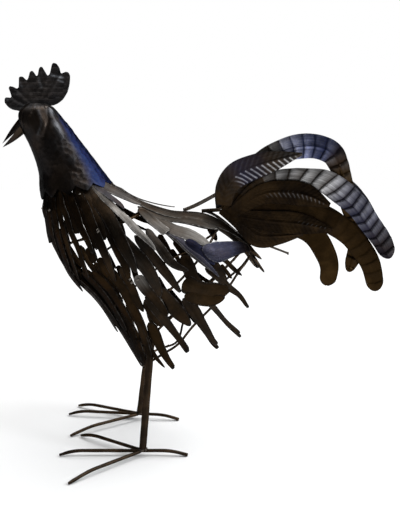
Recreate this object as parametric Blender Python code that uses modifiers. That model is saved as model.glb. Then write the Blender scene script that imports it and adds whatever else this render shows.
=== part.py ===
"""Scrap metal rooster sculpture: a hollow hammered neck, a cage of wire hoops clad with
lance-shaped sheet strips, a fan of blade feathers for the tail, and two rod legs on rod toes.
The rooster looks towards -X, its left side is at -Y, and it stands on z = 0. Metres."""
import math

import bmesh
import bpy
import numpy as np
from mathutils import Vector

# Stock that the sculptor worked with
GAP = 0.0003
SHELL_SHEET = 0.0018
STRIP_SHEET = 0.0013
FEATHER_SHEET = 0.0010
COMB_SHEET = 0.0020
HOOP_WIRE = 0.0032
HOOP_INSET = HOOP_WIRE / 2 + 1.6 * GAP
LEG_ROD = 0.0094
TOE_ROD = 0.0044
BRACE_ROD = 0.0050
TINE_WIRE = 0.0030
THIN_ROD = 0.0060

# The body form, ring by ring from the crown to the rear hoop: the front point (x, z),
# the back point (x, z) and the half width of each ring
RINGS = (
    ((-0.2220, 0.4470), (-0.1990, 0.4475), 0.0090),
    ((-0.2325, 0.4370), (-0.1880, 0.4430), 0.0200),
    ((-0.2330, 0.4260), (-0.1780, 0.4310), 0.0255),
    ((-0.2290, 0.4130), (-0.1680, 0.4190), 0.0285),
    ((-0.2210, 0.3960), (-0.1560, 0.4020), 0.0310),
    ((-0.2142, 0.3780), (-0.1430, 0.3850), 0.0340),
    ((-0.2090, 0.3560), (-0.1290, 0.3660), 0.0370),
    ((-0.2065, 0.3340), (-0.1150, 0.3500), 0.0410),
    ((-0.2025, 0.3050), (-0.0990, 0.3340), 0.0470),
    ((-0.1955, 0.2725), (-0.0750, 0.3205), 0.0560),
    ((-0.1740, 0.2335), (-0.0360, 0.3100), 0.0660),
    ((-0.1360, 0.1935), (0.0130, 0.3040), 0.0720),
    ((-0.1055, 0.1465), (0.0500, 0.2740), 0.0700),
    ((-0.0805, 0.1040), (0.0660, 0.2470), 0.0620),
)
NECK_LEVELS = (0.0, 0.5, 1.2, 2.2, 3.4, 4.6, 5.8, 6.6)
NECK_RIM = 7.0
RIM_LOBES = 13
RIM_LOBE = 0.28
RIM_NOTCH = 0.10
TUCK_END = (7.45, 8.30)

# Hoops of the cage: how far each follows the rise of the strips over it, and the rings it
# passes, by angle, for none of them is quite level
HOOPS = {
    "hoop_neck": (0.0, [(0, 6.90)]),
    "hoop_breast": (0.0, [(0, 9.35), (104, 9.38), (118, 9.30), (180, 9.30), (235, 9.46), (270, 9.46)]),
    "hoop_flank": (0.0, [(0, 11.32), (25, 11.38), (65, 11.66), (90, 11.77), (115, 11.70), (150, 11.50),
                         (180, 11.42), (270, 11.42), (292, 11.57), (325, 11.57), (345, 11.40)]),
    "hoop_leg": (0.0006, [(0, 12.42), (45, 12.38), (110, 12.40), (140, 12.55), (180, 12.62), (225, 12.64),
                          (250, 12.83), (260, 12.85), (308, 12.83), (325, 12.75), (345, 12.56)]),
    "hoop_rear": (0.0012, [(0, 12.95), (35, 12.90), (50, 13.00), (60, 13.08), (94, 13.08), (110, 13.22),
                           (120, 13.13), (135, 13.07), (205, 13.07), (226, 13.30), (232, 13.46),
                           (238, 13.58), (245, 13.54), (251, 13.18), (260, 13.10), (275, 13.10),
                           (300, 13.20), (325, 13.22), (345, 13.05)]),
}
HOOP_CORNERS = 20

# Feet: where each leg stands, how far its toes reach, and of each side toe its splay, the
# reach to its bend and to its tip
LEG_FOOT = {"left": (-0.0735, -0.071), "right": (-0.0880, 0.0565)}
FOOT_TURN = {"left": 0.0, "right": 7.0}
LEG_ANGLE = {"left": 134.0, "right": 212.0}
TOE_HEIGHT = 0.0080
TOE_REACH = 0.0885
TOE_TIP = 0.1075
SPUR_REACH = 0.0360
SPUR_CLAW = 0.0220
CLAW_AXIS_HEIGHT = 0.0012
SIDE_TOES = {"left": {"outer": (44.0, 0.082, 0.113), "inner": (-35.0, 0.088, 0.110)},
             "right": {"outer": (-19.5, 0.088, 0.110), "inner": (43.5, 0.080, 0.112)}}

# Where a strip has its cross rows, as shares of its length
STRIP_STEPS = (0.0, 0.14, 0.30, 0.46, 0.62, 0.77, 0.90, 1.0)
FRINGE_STEPS = (0.0, 0.14, 0.38, 0.64, 0.86, 1.0)
STRIP_SHOULDER = 0.22
FRINGE_SHOULDER = 0.80
FRINGE_BLUNT = 0.45

# The tail fan: all feathers leave one root and spread sideways as they go
TAIL_ROOT = (0.034, 0.313)
ROOT_PITCH = 0.00142
FAN_SPREAD = 0.0165
TIP_ROUND = 0.06
SICKLE_RELIEF = (0.55, 0.45)
LANCE_RELIEF = (0.80, 0.0)

# The brace rods of the tail and the loose tine under it, as points (x, z)
UPPER_BRACE = ((-0.021, 0.3108), (-0.0064, 0.3168), (0.010, 0.3252), (0.031, 0.3368))
LOWER_BRACE = ((0.003, 0.3097), (0.0264, 0.3112))
TINE = ((0.082, 0.266), (0.118, 0.252))
TINE_RANK = 3

# The beak's two wedges: the ridge and the rim where they meet the face, and the tip (x, z),
# and half their width
UPPER_BEAK = ((-0.2350, 0.4290), (-0.2570, 0.3975), (-0.2336, 0.4193), 0.0085)
LOWER_BEAK = ((-0.2292, 0.4100), (-0.2560, 0.3928), (-0.2322, 0.4184), 0.0080)


def spline(points, t):
    """A point at t (in control points) on a smooth curve through the rows of points."""
    last = len(points) - 1
    i = int(min(max(math.floor(t), 0), last - 1))
    a, b = points[i], points[i + 1]
    before = points[i - 1] if i > 0 else 2 * a - b
    after = points[i + 2] if i + 2 <= last else 2 * b - a
    if t > last:
        return b + (t - last) * 0.5 * (after - a)
    f = t - i
    return 0.5 * (2 * a + (b - before) * f + (2 * before - 5 * a + 4 * b - after) * f ** 2
                  + (3 * a - before - 3 * b + after) * f ** 3)


RING_ROWS = np.array([[*front, *back, half] for front, back, half in RINGS])


def form(u, angle):
    """A point of the body form at ring u; angle 0 is the back, 90 the left side, 180 the breast."""
    front_x, front_z, back_x, back_z, half = spline(RING_ROWS, u)
    a = math.radians(angle)
    return np.array([(front_x + back_x) / 2 + (back_x - front_x) / 2 * math.cos(a),
                     -half * math.sin(a),
                     (front_z + back_z) / 2 + (back_z - front_z) / 2 * math.cos(a)])


def unit(vector):
    return vector / np.linalg.norm(vector)


def slopes(u, angle):
    along = (form(u + 0.02, angle) - form(u - 0.02, angle)) / 0.04
    around = (form(u, angle + 1.0) - form(u, angle - 1.0)) / 2.0
    return along, around


def lifted(u, angle, lift):
    """A point at a height over the body form."""
    along, around = slopes(u, angle)
    return form(u, angle) + lift * unit(np.cross(around, along))


def smooth_step(value, low, high):
    t = min(max((value - low) / (high - low), 0.0), 1.0)
    return t * t * (3 - 2 * t)


def tuck(u):
    """How far the cage lies under the form: beneath the neck shell it passes inside the sheet."""
    under_shell = SHELL_SHEET + STRIP_SHEET + 2.5 * GAP
    return -under_shell * (1 - smooth_step(u, *TUCK_END))


def on_cage(u, angle, lift):
    return lifted(u, angle, tuck(u) + lift)


def make_material(name, colour, roughness, metallic):
    material = bpy.data.materials.new(name)
    material.use_nodes = True
    shader = material.node_tree.nodes["Principled BSDF"]
    shader.inputs["Base Color"].default_value = (*colour, 1.0)
    shader.inputs["Roughness"].default_value = roughness
    shader.inputs["Metallic"].default_value = metallic
    return material


def place(name, data, material):
    """One named sub-part, under the stand that centres the sculpture over its feet."""
    piece = bpy.data.objects.new(name, data)
    data.materials.append(material)
    ROOSTER.objects.link(piece)
    piece.parent = STAND
    return piece


def surface(rows, closed=False):
    """An open sheet through rows of points; neighbours along and across share their corners."""
    mesh = bpy.data.meshes.new("sheet")
    bm = bmesh.new()
    corners = [[bm.verts.new(p) for p in row] for row in rows]
    for near, far in zip(corners, corners[1:]):
        last = len(near) if closed else len(near) - 1
        for k in range(last):
            n = (k + 1) % len(near)
            bm.faces.new((near[k], near[n], far[n], far[k]))
    bm.to_mesh(mesh)
    bm.free()
    return mesh


def thicken(piece, thickness, offset):
    solidify = piece.modifiers.new("sheet thickness", "SOLIDIFY")
    solidify.thickness = thickness
    solidify.offset = offset


def rod(name, points, diameter, cyclic=False):
    """A round rod or wire along points."""
    curve = bpy.data.curves.new(name, "CURVE")
    curve.dimensions = "3D"
    curve.bevel_depth = diameter / 2
    curve.bevel_resolution = 2 if diameter > THIN_ROD else 1
    curve.use_fill_caps = True
    line = curve.splines.new("POLY")
    line.points.add(len(points) - 1)
    for target, point in zip(line.points, points):
        target.co = (*point, 1.0)
    line.use_cyclic_u = cyclic
    return place(name, curve, ROD_METAL)


def outline_width(t, shoulder, blunt):
    """The share of a strip's width at t: a narrow root, full from the shoulder, a tip rounded by blunt."""
    root = 0.72 + 0.28 * smooth_step(t, 0.0, shoulder)
    tip = (1 - min(t, 1.0) ** (2.2 + 5 * blunt)) ** 0.62
    return root * (0.16 + 0.84 * tip)


def strip_row(t, u0, angle0, u1, angle1, width, lift, rise, shoulder, blunt):
    """Three points across a strip at t of its length, bent to the cage."""
    u = u0 + (u1 - u0) * t
    angle = angle0 + (angle1 - angle0) * t
    along, around = slopes(u, angle)
    heading = unit(along * (u1 - u0) + around * (angle1 - angle0))
    across = np.cross(unit(np.cross(around, along)), heading)
    du, dangle = np.linalg.lstsq(np.column_stack((along, around)), across, rcond=None)[0]
    half = width / 2 * outline_width(t, shoulder, blunt)
    start = max(u0, NECK_RIM + 0.4)
    height = lift * max((u - start) / (u1 - start), 0.0) ** rise
    return [on_cage(u + q * half * du, angle + q * half * dangle, height) for q in (-1, 0, 1)]


def strip(name, u0, angle0, u1, angle1, width, lift, rise, blunt):
    """One lance-shaped strip from its root to its tip over the cage; its tip stands lift clear."""
    rows = [strip_row(t, u0, angle0, u1, angle1, width, lift, rise, STRIP_SHOULDER, blunt)
            for t in STRIP_STEPS]
    piece = place(name, surface(rows), STRIP_METAL)
    thicken(piece, STRIP_SHEET, -1.0)


def fringe(name, u0, width, lift, fingers):
    """A row of strips welded side by side, which makes one sheet along their roots.
    Each finger is (angle at the root, angle at the tip, ring of the tip)."""
    mesh = bpy.data.meshes.new(name)
    bm = bmesh.new()
    previous = None
    for angle0, angle1, u1 in fingers:
        grid = []
        for t in FRINGE_STEPS:
            row = strip_row(t, u0, angle0, u1, angle1, width, lift, 1.0, FRINGE_SHOULDER, FRINGE_BLUNT)
            grid.append([bm.verts.new(p) for p in row])
        for near, far in zip(grid, grid[1:]):
            for k in range(2):
                bm.faces.new((near[k], near[k + 1], far[k + 1], far[k]))
        if previous:
            bm.faces.new((grid[0][2], previous[0][0], previous[1][0], grid[1][2]))
        previous = grid
    bm.to_mesh(mesh)
    bm.free()
    piece = place(name, mesh, STRIP_METAL)
    thicken(piece, STRIP_SHEET, -1.0)


def close_openings(mesh, is_rim):
    """Fill each opening of a sheet whose rim edges pass the test, and face the whole sheet outwards."""
    bm = bmesh.new()
    bm.from_mesh(mesh)
    rim = [edge for edge in bm.edges if edge.is_boundary and is_rim(edge)]
    bmesh.ops.holes_fill(bm, edges=rim, sides=0)
    bmesh.ops.recalc_face_normals(bm, faces=bm.faces)
    bm.to_mesh(mesh)
    bm.free()


def neck_shell():
    """The head and neck, one hammered sheet closed over the crown and lobed at its lower rim."""
    corners = range(2 * RIM_LOBES)
    angles = [180.0 * k / RIM_LOBES for k in corners]
    rows = [[form(u, angle) for angle in angles] for u in NECK_LEVELS]
    rows.append([form(NECK_RIM + (RIM_LOBE if k % 2 else -RIM_NOTCH), angles[k]) for k in corners])
    mesh = surface(rows, closed=True)
    close_openings(mesh, lambda edge: edge.verts[0].co.z > RINGS[1][0][1])
    piece = place("neck_shell", mesh, NECK_METAL)
    thicken(piece, SHELL_SHEET, -1.0)


# The comb's edge from the front root over its seven points to the rear root, x and z
COMB_EDGE = (
    (-0.2335, 0.4385), (-0.2410, 0.4400), (-0.2460, 0.4430), (-0.2505, 0.4485), (-0.2505, 0.4535),
    (-0.2485, 0.4555), (-0.2415, 0.4555),
    (-0.2445, 0.4665), (-0.2430, 0.4695), (-0.2385, 0.4685), (-0.2345, 0.4665), (-0.2320, 0.4680),
    (-0.2310, 0.4800), (-0.2285, 0.4815), (-0.2260, 0.4810), (-0.2215, 0.4770), (-0.2195, 0.4790),
    (-0.2170, 0.4870), (-0.2135, 0.4885), (-0.2080, 0.4815),
    (-0.2055, 0.4910), (-0.2035, 0.4935), (-0.2010, 0.4930), (-0.1950, 0.4830), (-0.1920, 0.4850),
    (-0.1890, 0.4960), (-0.1870, 0.4985), (-0.1830, 0.4975), (-0.1795, 0.4925), (-0.1775, 0.4855),
    (-0.1715, 0.4875), (-0.1680, 0.4865), (-0.1660, 0.4820), (-0.1670, 0.4720), (-0.1700, 0.4620),
    (-0.1760, 0.4530), (-0.1825, 0.4480), (-0.1885, 0.4455),
)


def comb():
    """The comb plate, cut to sit just over the crown."""
    behind = [lifted(u, 0.0, 3 * GAP) for u in (0.6, 0.3, 0.0)]
    ahead = [lifted(u, 180.0, 3 * GAP) for u in (0.0, 0.3, 0.6, 0.9)]
    edge = [(x, z) for x, z in COMB_EDGE] + [(p[0], p[2]) for p in behind + ahead]
    curve = bpy.data.curves.new("comb", "CURVE")
    curve.dimensions = "2D"
    curve.fill_mode = "BOTH"
    curve.extrude = COMB_SHEET / 2
    line = curve.splines.new("POLY")
    line.points.add(len(edge) - 1)
    for target, (x, z) in zip(line.points, edge):
        target.co = (x, z, 0.0, 1.0)
    line.use_cyclic_u = True
    piece = place("comb", curve, NECK_METAL)
    piece.rotation_euler = (math.radians(90), 0, 0)


def beak(name, ridge, tip, rim, half_width):
    """A pointed wedge with a rounded ridge, from the face to its tip; points are (x, z)."""
    rows = []
    for t in (0.0, 0.35, 0.7, 0.96):
        row = []
        for q in (-1.0, -0.55, 0.0, 0.55, 1.0):
            rise = 1 - abs(q) ** 1.6
            base_x = rim[0] + (ridge[0] - rim[0]) * rise
            base_z = rim[1] + (ridge[1] - rim[1]) * rise
            bulge = 0.12 * math.sin(math.pi * t) * rise * (ridge[1] - rim[1])
            row.append((base_x + (tip[0] - base_x) * t, q * half_width * (1 - t) ** 0.85,
                        base_z + (tip[1] - base_z) * t + bulge))
        rows.append(row)
    mesh = surface(rows, closed=True)
    close_openings(mesh, lambda edge: True)
    place(name, mesh, NECK_METAL)


def hoop_ring(name, angle):
    """The ring at which a hoop passes an angle."""
    angles, rings = zip(*HOOPS[name][1])
    return float(np.interp(angle, angles, rings, period=360.0))


def hoop(name):
    """A round wire ring of the cage, lying just inside the strips."""
    rise = HOOPS[name][0]
    angles = [360.0 * k / HOOP_CORNERS for k in range(HOOP_CORNERS)]
    points = [on_cage(hoop_ring(name, angle), angle, rise - HOOP_INSET) for angle in angles]
    rod(name, points, HOOP_WIRE, cyclic=True)


def leg_top(side):
    """Where the leg's rod crosses the inner side of the leg hoop."""
    angle = LEG_ANGLE[side]
    u = hoop_ring("hoop_leg", angle)
    rise = HOOPS["hoop_leg"][0]
    wire = on_cage(u, angle, rise - HOOP_INSET)
    _, around = slopes(u, angle)
    aside = unit(np.cross(wire - np.array([*LEG_FOOT[side], TOE_HEIGHT]), around))
    inward = aside if aside[1] * wire[1] < 0 else -aside
    return wire + inward * (HOOP_WIRE / 2 + LEG_ROD / 2 + 3 * GAP)


def leg(side):
    """A straight rod from the toes into the body, welded inside the leg hoop."""
    x, y = LEG_FOOT[side]
    top = leg_top(side)
    lean = math.hypot(top[0] - x, top[1] - y) / top[2]
    start = np.array([x, y, TOE_HEIGHT + TOE_ROD / 2 + GAP + lean * LEG_ROD / 2])
    end = top + unit(top - start) * LEG_ROD
    rod(f"leg_{side}", [start, end], LEG_ROD)


def grounded(piece):
    """Turn a toe rod into a mesh and cut its claws flat where they stand on the ground."""
    depsgraph = bpy.context.evaluated_depsgraph_get()
    mesh = bpy.data.meshes.new_from_object(piece.evaluated_get(depsgraph))
    bm = bmesh.new()
    bm.from_mesh(mesh)
    bmesh.ops.remove_doubles(bm, verts=bm.verts, dist=0.00002)
    whole = bm.verts[:] + bm.edges[:] + bm.faces[:]
    cut = bmesh.ops.bisect_plane(bm, geom=whole, plane_co=(0, 0, 0), plane_no=(0, 0, -1), clear_outer=True)
    edges = [item for item in cut["geom_cut"] if isinstance(item, bmesh.types.BMEdge)]
    bmesh.ops.holes_fill(bm, edges=edges, sides=0)
    bmesh.ops.recalc_face_normals(bm, faces=bm.faces)
    bm.to_mesh(mesh)
    bm.free()
    name = piece.name
    curve = piece.data
    bpy.data.objects.remove(piece)
    bpy.data.curves.remove(curve)
    return place(name, mesh, ROD_METAL)


def toe(side, name, angle, reaches):
    """A toe rod that leaves the leg at an angle from straight ahead, through (reach, height) pairs."""
    x, y = LEG_FOOT[side]
    a = math.radians(angle - FOOT_TURN[side])
    points = [(x - reach * math.cos(a), y - reach * math.sin(a), z) for reach, z in reaches]
    grounded(rod(f"toe_{side}_{name}", points, TOE_ROD))


def foot(side):
    """Three toe rods: a long one for the middle and rear toe, and two that splay from the leg."""
    claw = [(TOE_REACH, TOE_HEIGHT), (TOE_TIP, CLAW_AXIS_HEIGHT)]
    spur = [(-SPUR_REACH - SPUR_CLAW, CLAW_AXIS_HEIGHT), (-SPUR_REACH, TOE_HEIGHT)]
    toe(side, "long", 0.0, spur + claw)
    for name, (angle, reach, tip) in SIDE_TOES[side].items():
        clear = (TOE_ROD + 1.4 * GAP) / math.sin(math.radians(abs(angle)))
        toe(side, name, angle, [(clear, TOE_HEIGHT), (reach, TOE_HEIGHT), (tip, CLAW_AXIS_HEIGHT)])


def fan(x, z, rank):
    """The sideways place of a feather of this rank at a point of the fan."""
    distance = math.hypot(x - TAIL_ROOT[0], z - TAIL_ROOT[1])
    return rank * (ROOT_PITCH + FAN_SPREAD * distance), distance


def feather(name, rank, centre, widths, count, rib, wave):
    """A blade feather along its middle line (x, z), with a raised midrib and waves across it."""
    line = np.array([(x, z, w) for (x, z), w in zip(centre, widths)])
    last = len(line) - 1
    outward = -1.0 if rank <= 0 else 1.0
    rows = []
    places = [last * k / count for k in range(count)] + [last - 0.25 * last / count, last]
    for k, t in enumerate(places):
        x, z, width = spline(line, t)
        from_tip = min((last - t) / (TIP_ROUND * last), 1.0)
        width *= math.sqrt(max(1 - (1 - from_tip) ** 2, 0.12))
        ahead = spline(line, min(t + 0.02, last))
        behind = spline(line, max(t - 0.02, 0))
        heading = unit((ahead - behind)[:2])
        row = []
        for q in (-1, 0, 1):
            px = x - q * heading[1] * width / 2
            pz = z + q * heading[0] * width / 2
            y, distance = fan(px, pz, rank)
            room = 0.42 * max(FAN_SPREAD * distance - GAP, 0.0)
            relief = (rib if q == 0 else 0.0) + (wave if k % 2 else 0.0)
            row.append((px, y + outward * room * relief, pz))
        rows.append(row)
    piece = place(name, surface(rows), FEATHER_METAL)
    thicken(piece, FEATHER_SHEET, 0.0)


# Sickle feathers, from near to far: rank in the fan, middle line (x, z) and widths
SICKLES = {
    "sickle_arch": (0, (
        (0.035, 0.310), (0.056, 0.351), (0.083, 0.3765), (0.108, 0.3880), (0.130, 0.3935), (0.152, 0.393),
        (0.171, 0.385), (0.181, 0.369), (0.1885, 0.348), (0.197, 0.318), (0.206, 0.290), (0.2065, 0.261),
        (0.1985, 0.2285)),
        (0.018, 0.023, 0.026, 0.030, 0.032, 0.031, 0.030, 0.026, 0.022, 0.025, 0.021, 0.020, 0.018), 22),
    "sickle_long_left": (-3, (
        (0.046, 0.314), (0.068, 0.339), (0.092, 0.354), (0.114, 0.357), (0.137, 0.355), (0.161, 0.349),
        (0.183, 0.335), (0.204, 0.317), (0.222, 0.293), (0.238, 0.272), (0.250, 0.249)),
        (0.012, 0.013, 0.013, 0.016, 0.021, 0.029, 0.032, 0.029, 0.027, 0.025, 0.020), 20),
    "sickle_long_right": (2, (
        (0.040, 0.308), (0.070, 0.340), (0.095, 0.354), (0.118, 0.3565), (0.142, 0.3545), (0.167, 0.348),
        (0.190, 0.339), (0.210, 0.320), (0.2255, 0.296), (0.239, 0.274), (0.247, 0.254)),
        (0.012, 0.013, 0.014, 0.017, 0.021, 0.026, 0.028, 0.026, 0.024, 0.022, 0.019), 20),
    "sickle_low_left": (-1, (
        (0.043, 0.304), (0.088, 0.312), (0.128, 0.310), (0.157, 0.301), (0.178, 0.292), (0.198, 0.278),
        (0.213, 0.260), (0.2265, 0.238), (0.235, 0.2035)),
        (0.014, 0.022, 0.027, 0.029, 0.031, 0.030, 0.029, 0.026, 0.022), 20),
    "sickle_low_right": (5, (
        (0.033, 0.308), (0.090, 0.314), (0.130, 0.315), (0.160, 0.306), (0.186, 0.291), (0.204, 0.271),
        (0.214, 0.249)),
        (0.014, 0.021, 0.024, 0.026, 0.026, 0.022, 0.019), 20),
    "sickle_inner_left": (1, (
        (0.043, 0.302), (0.088, 0.294), (0.126, 0.289), (0.1505, 0.2775), (0.1660, 0.255), (0.1730, 0.234),
        (0.1702, 0.209)),
        (0.014, 0.023, 0.027, 0.029, 0.028, 0.025, 0.021), 18),
}

# Barbed lance feathers in the same way
LANCES = {
    "lance_front_left": (-6, (
        (0.031, 0.318), (0.034, 0.340), (0.047, 0.357), (0.068, 0.367), (0.094, 0.375), (0.130, 0.384)),
        (0.020, 0.028, 0.033, 0.032, 0.026, 0.003), 10),
    "lance_middle_left": (-5, (
        (0.040, 0.306), (0.078, 0.331), (0.110, 0.335), (0.138, 0.331), (0.167, 0.318)),
        (0.014, 0.026, 0.031, 0.029, 0.007), 10),
    "lance_low_left": (-4, (
        (0.040, 0.304), (0.090, 0.297), (0.128, 0.294), (0.172, 0.286)),
        (0.014, 0.027, 0.028, 0.006), 10),
    "lance_under_left": (-2, (
        (0.030, 0.314), (0.052, 0.297), (0.076, 0.278), (0.102, 0.277), (0.135, 0.280)),
        (0.018, 0.022, 0.031, 0.024, 0.005), 10),
    "lance_front_right": (6, (
        (0.031, 0.311), (0.034, 0.335), (0.047, 0.353), (0.068, 0.363), (0.092, 0.370), (0.126, 0.378)),
        (0.020, 0.028, 0.033, 0.031, 0.024, 0.003), 10),
    "lance_under_right": (4, (
        (0.030, 0.314), (0.053, 0.298), (0.078, 0.281), (0.106, 0.282), (0.138, 0.284)),
        (0.018, 0.022, 0.028, 0.024, 0.005), 10),
}


def tail():
    for name, (rank, centre, widths, count) in SICKLES.items():
        feather(name, rank, centre, widths, count, *SICKLE_RELIEF)
    for name, (rank, centre, widths, count) in LANCES.items():
        feather(name, rank, centre, widths, count, *LANCE_RELIEF)


def braces():
    """The thin rod from the back to the tail root, the short one below it and the loose tine."""
    rod("tail_brace_upper", [(x, 0.0, z) for x, z in UPPER_BRACE], BRACE_ROD)
    rod("tail_brace_lower", [(x, 0.0, z) for x, z in LOWER_BRACE], BRACE_ROD)
    rod("tail_tine", [(x, fan(x, z, TINE_RANK)[0], z) for x, z in TINE], TINE_WIRE)


# Single strips of one side: rings and angles of root and tip, width, lift of the tip,
# how early it rises and how blunt its tip is
SIDE_STRIPS = {
    "hackle_strip_{}_1": (6.80, 24, 9.90, 25, 0.0150, 0.0034, 1.0, 0.5),
    "hackle_strip_{}_2": (6.80, 41, 9.10, 46, 0.0110, 0.0034, 1.0, 0.4),
    "hackle_strip_{}_3": (6.80, 56, 10.80, 74, 0.0110, 0.0062, 0.45, 0.6),
    "hackle_strip_{}_4": (6.80, 74, 9.45, 82, 0.0130, 0.0034, 1.0, 0.5),
    "saddle_strip_{}": (9.10, 11.5, 13.2, 9.5, 0.0200, 0.0034, 1.0, 0.4),
    "flank_strip_{}_1": (9.30, 38, 11.65, 38, 0.0200, 0.0034, 1.0, 0.6),
    "flank_strip_{}_2": (9.40, 55, 12.40, 58, 0.0130, 0.0034, 1.0, 0.4),
    "flank_strip_{}_3": (9.30, 70, 11.70, 70, 0.0150, 0.0034, 1.0, 0.5),
    "flank_strip_{}_4": (9.20, 86, 11.50, 85, 0.0180, 0.0034, 1.0, 0.5),
    "rump_strip_{}_1": (11.2, 42, 13.7, 25, 0.0190, 0.0024, 1.0, 0.5),
    "rump_plate_{}": (11.2, 67, 14.1, 50, 0.0240, 0.0024, 1.0, 0.3),
    "rump_strip_{}_2": (11.15, 87, 14.3, 69, 0.0170, 0.0024, 1.0, 0.3),
}

# Rows of strips round the breast and belly: ring of the roots, width of a strip, lift of the
# tips, and each strip's angle at the root, angle at the tip and ring of the tip
FRINGES = {
    "breast_fringe": (6.85, 0.0132, 0.0034, [
        (90, 98, 9.5), (106, 113, 9.6), (122, 128, 9.3), (138, 143, 9.6), (154, 158, 9.4),
        (170, 172, 9.2), (186, 187, 9.1), (202, 199, 9.4), (218, 213, 9.6), (234, 229, 9.3),
        (250, 244, 9.6), (266, 259, 9.5)]),
    "belly_fringe": (9.15, 0.0170, 0.0034, [
        (102, 104, 11.8), (116, 118, 11.5), (130, 132, 11.8), (144, 146, 11.4), (158, 160, 11.7),
        (173, 173, 11.5), (187, 187, 11.6), (202, 200, 11.7), (216, 214, 11.4), (230, 228, 11.8),
        (244, 242, 11.5), (258, 256, 11.8)]),
    "thigh_fringe": (11.15, 0.0155, 0.0024, [
        (104, 87, 14.05), (118, 108, 13.45), (131, 128, 12.1), (146, 148, 13.3), (160, 161, 13.2),
        (174, 173, 13.1), (188, 188, 13.1), (202, 199, 13.1), (217, 217, 12.1), (232, 236, 13.3),
        (246, 255, 13.5), (259, 274, 14.0)]),
}


def strips():
    strip("back_strip_raised", 6.80, 0.0, 10.0, 0.0, 0.0110, 0.0060, 1.1, 0.4)
    for name, (u0, angle0, u1, angle1, *form_of_strip) in SIDE_STRIPS.items():
        strip(name.format("left"), u0, angle0, u1, angle1, *form_of_strip)
        strip(name.format("right"), u0, 360 - angle0, u1, 360 - angle1, *form_of_strip)
    for name, (u0, width, lift, fingers) in FRINGES.items():
        fringe(name, u0, width, lift, fingers)


for item in list(bpy.data.objects):
    bpy.data.objects.remove(item)
ROOSTER = bpy.data.collections.new("rooster")
bpy.context.scene.collection.children.link(ROOSTER)
NECK_METAL = make_material("hammered neck metal", (0.020, 0.016, 0.018), 0.42, 0.85)
STRIP_METAL = make_material("strip metal", (0.035, 0.028, 0.024), 0.48, 0.80)
FEATHER_METAL = make_material("feather metal", (0.030, 0.028, 0.036), 0.42, 0.85)
ROD_METAL = make_material("rod metal", (0.030, 0.018, 0.012), 0.55, 0.70)
STAND = bpy.data.objects.new("stand", None)
ROOSTER.objects.link(STAND)

neck_shell()
comb()
beak("beak_upper", *UPPER_BEAK)
beak("beak_lower", *LOWER_BEAK)
for hoop_name in HOOPS:
    hoop(hoop_name)
strips()
for leg_side in ("left", "right"):
    leg(leg_side)
    foot(leg_side)
tail()
braces()

bpy.context.view_layer.update()
spread = [(piece.matrix_world @ Vector(corner)).y
          for piece in ROOSTER.objects for corner in piece.bound_box]
STAND.location.y = -(min(spread) + max(spread)) / 2
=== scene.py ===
# %% [markdown]
# A rooster welded together from scrap sheet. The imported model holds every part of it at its
# real size: a hammered neck, a cage of wire hoops, strips, feather blades and rod legs.
# This lesson dresses that frame: each part gets the finer form and the finish that its metal
# has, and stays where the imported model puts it.

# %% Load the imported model
import math

import bmesh
import bpy
import numpy as np
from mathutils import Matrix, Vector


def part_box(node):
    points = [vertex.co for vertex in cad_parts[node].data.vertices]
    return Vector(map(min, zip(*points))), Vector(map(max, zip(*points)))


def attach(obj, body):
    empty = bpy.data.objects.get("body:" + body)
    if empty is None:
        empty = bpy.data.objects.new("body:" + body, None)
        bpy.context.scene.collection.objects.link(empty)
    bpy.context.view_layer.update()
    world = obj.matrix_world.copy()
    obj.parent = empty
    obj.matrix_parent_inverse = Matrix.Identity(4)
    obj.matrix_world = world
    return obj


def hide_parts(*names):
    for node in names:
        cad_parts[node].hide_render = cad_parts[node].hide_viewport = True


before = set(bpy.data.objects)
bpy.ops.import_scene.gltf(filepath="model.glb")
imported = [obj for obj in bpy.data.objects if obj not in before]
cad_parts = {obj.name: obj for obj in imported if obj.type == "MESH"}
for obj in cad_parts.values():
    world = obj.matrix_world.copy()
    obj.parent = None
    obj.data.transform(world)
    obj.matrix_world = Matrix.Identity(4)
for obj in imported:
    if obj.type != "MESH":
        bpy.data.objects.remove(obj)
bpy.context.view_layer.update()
comb_low, comb_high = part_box("comb")
MIDDLE_Y = (comb_low.y + comb_high.y) / 2
print("packed nodes:", len(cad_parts), "middle plane y:", round(MIDDLE_Y, 4))

# %% [markdown]
# The camera comes first. The picture was taken from the rooster's left side, with the lens
# at the height of the throat and looking nine degrees down. A lens can be guessed and nudged
# until the picture fits, but its length also follows from how many pixels one unit of slope
# covers, which keeps the nudging to one number.

# %% Camera
CAMERA_DISTANCE = 0.92
CAMERA_HEIGHT = 0.388
CAMERA_PITCH = 9.0
FOCAL_PIXELS = 700
PICTURE_HEIGHT = 523
SENSOR = 36.0
NEAREST_SEEN = 0.05


def hang(name, thing, place=(0.0, 0.0, 0.0), turn=(0.0, 0.0, 0.0)):
    """Put a camera or a light in the scene."""
    holder = bpy.data.objects.new(name, thing)
    holder.location = place
    holder.rotation_euler = turn
    bpy.context.scene.collection.objects.link(holder)
    return holder


camera = bpy.data.cameras.new("camera")
camera.sensor_width = SENSOR
camera.lens = FOCAL_PIXELS * SENSOR / PICTURE_HEIGHT
camera.clip_start = NEAREST_SEEN
bpy.context.scene.camera = hang("camera", camera, (0.0, MIDDLE_Y - CAMERA_DISTANCE, CAMERA_HEIGHT),
                                (math.radians(90 - CAMERA_PITCH), 0.0, 0.0))
print("lens:", round(camera.lens, 1), "mm")

# %% [markdown]
# The stage is a pale floor under a white sky. Dark metal shows its shape through what it
# mirrors, so there are two unlike lights: a very soft sun from above, which lights the floor
# evenly, and a small lamp behind the tail, which draws one clear glint along each round form
# and leaves the breast in shade. The sky is white to the eye and dim as a light, or it would
# wash the lacquer out.

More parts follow.
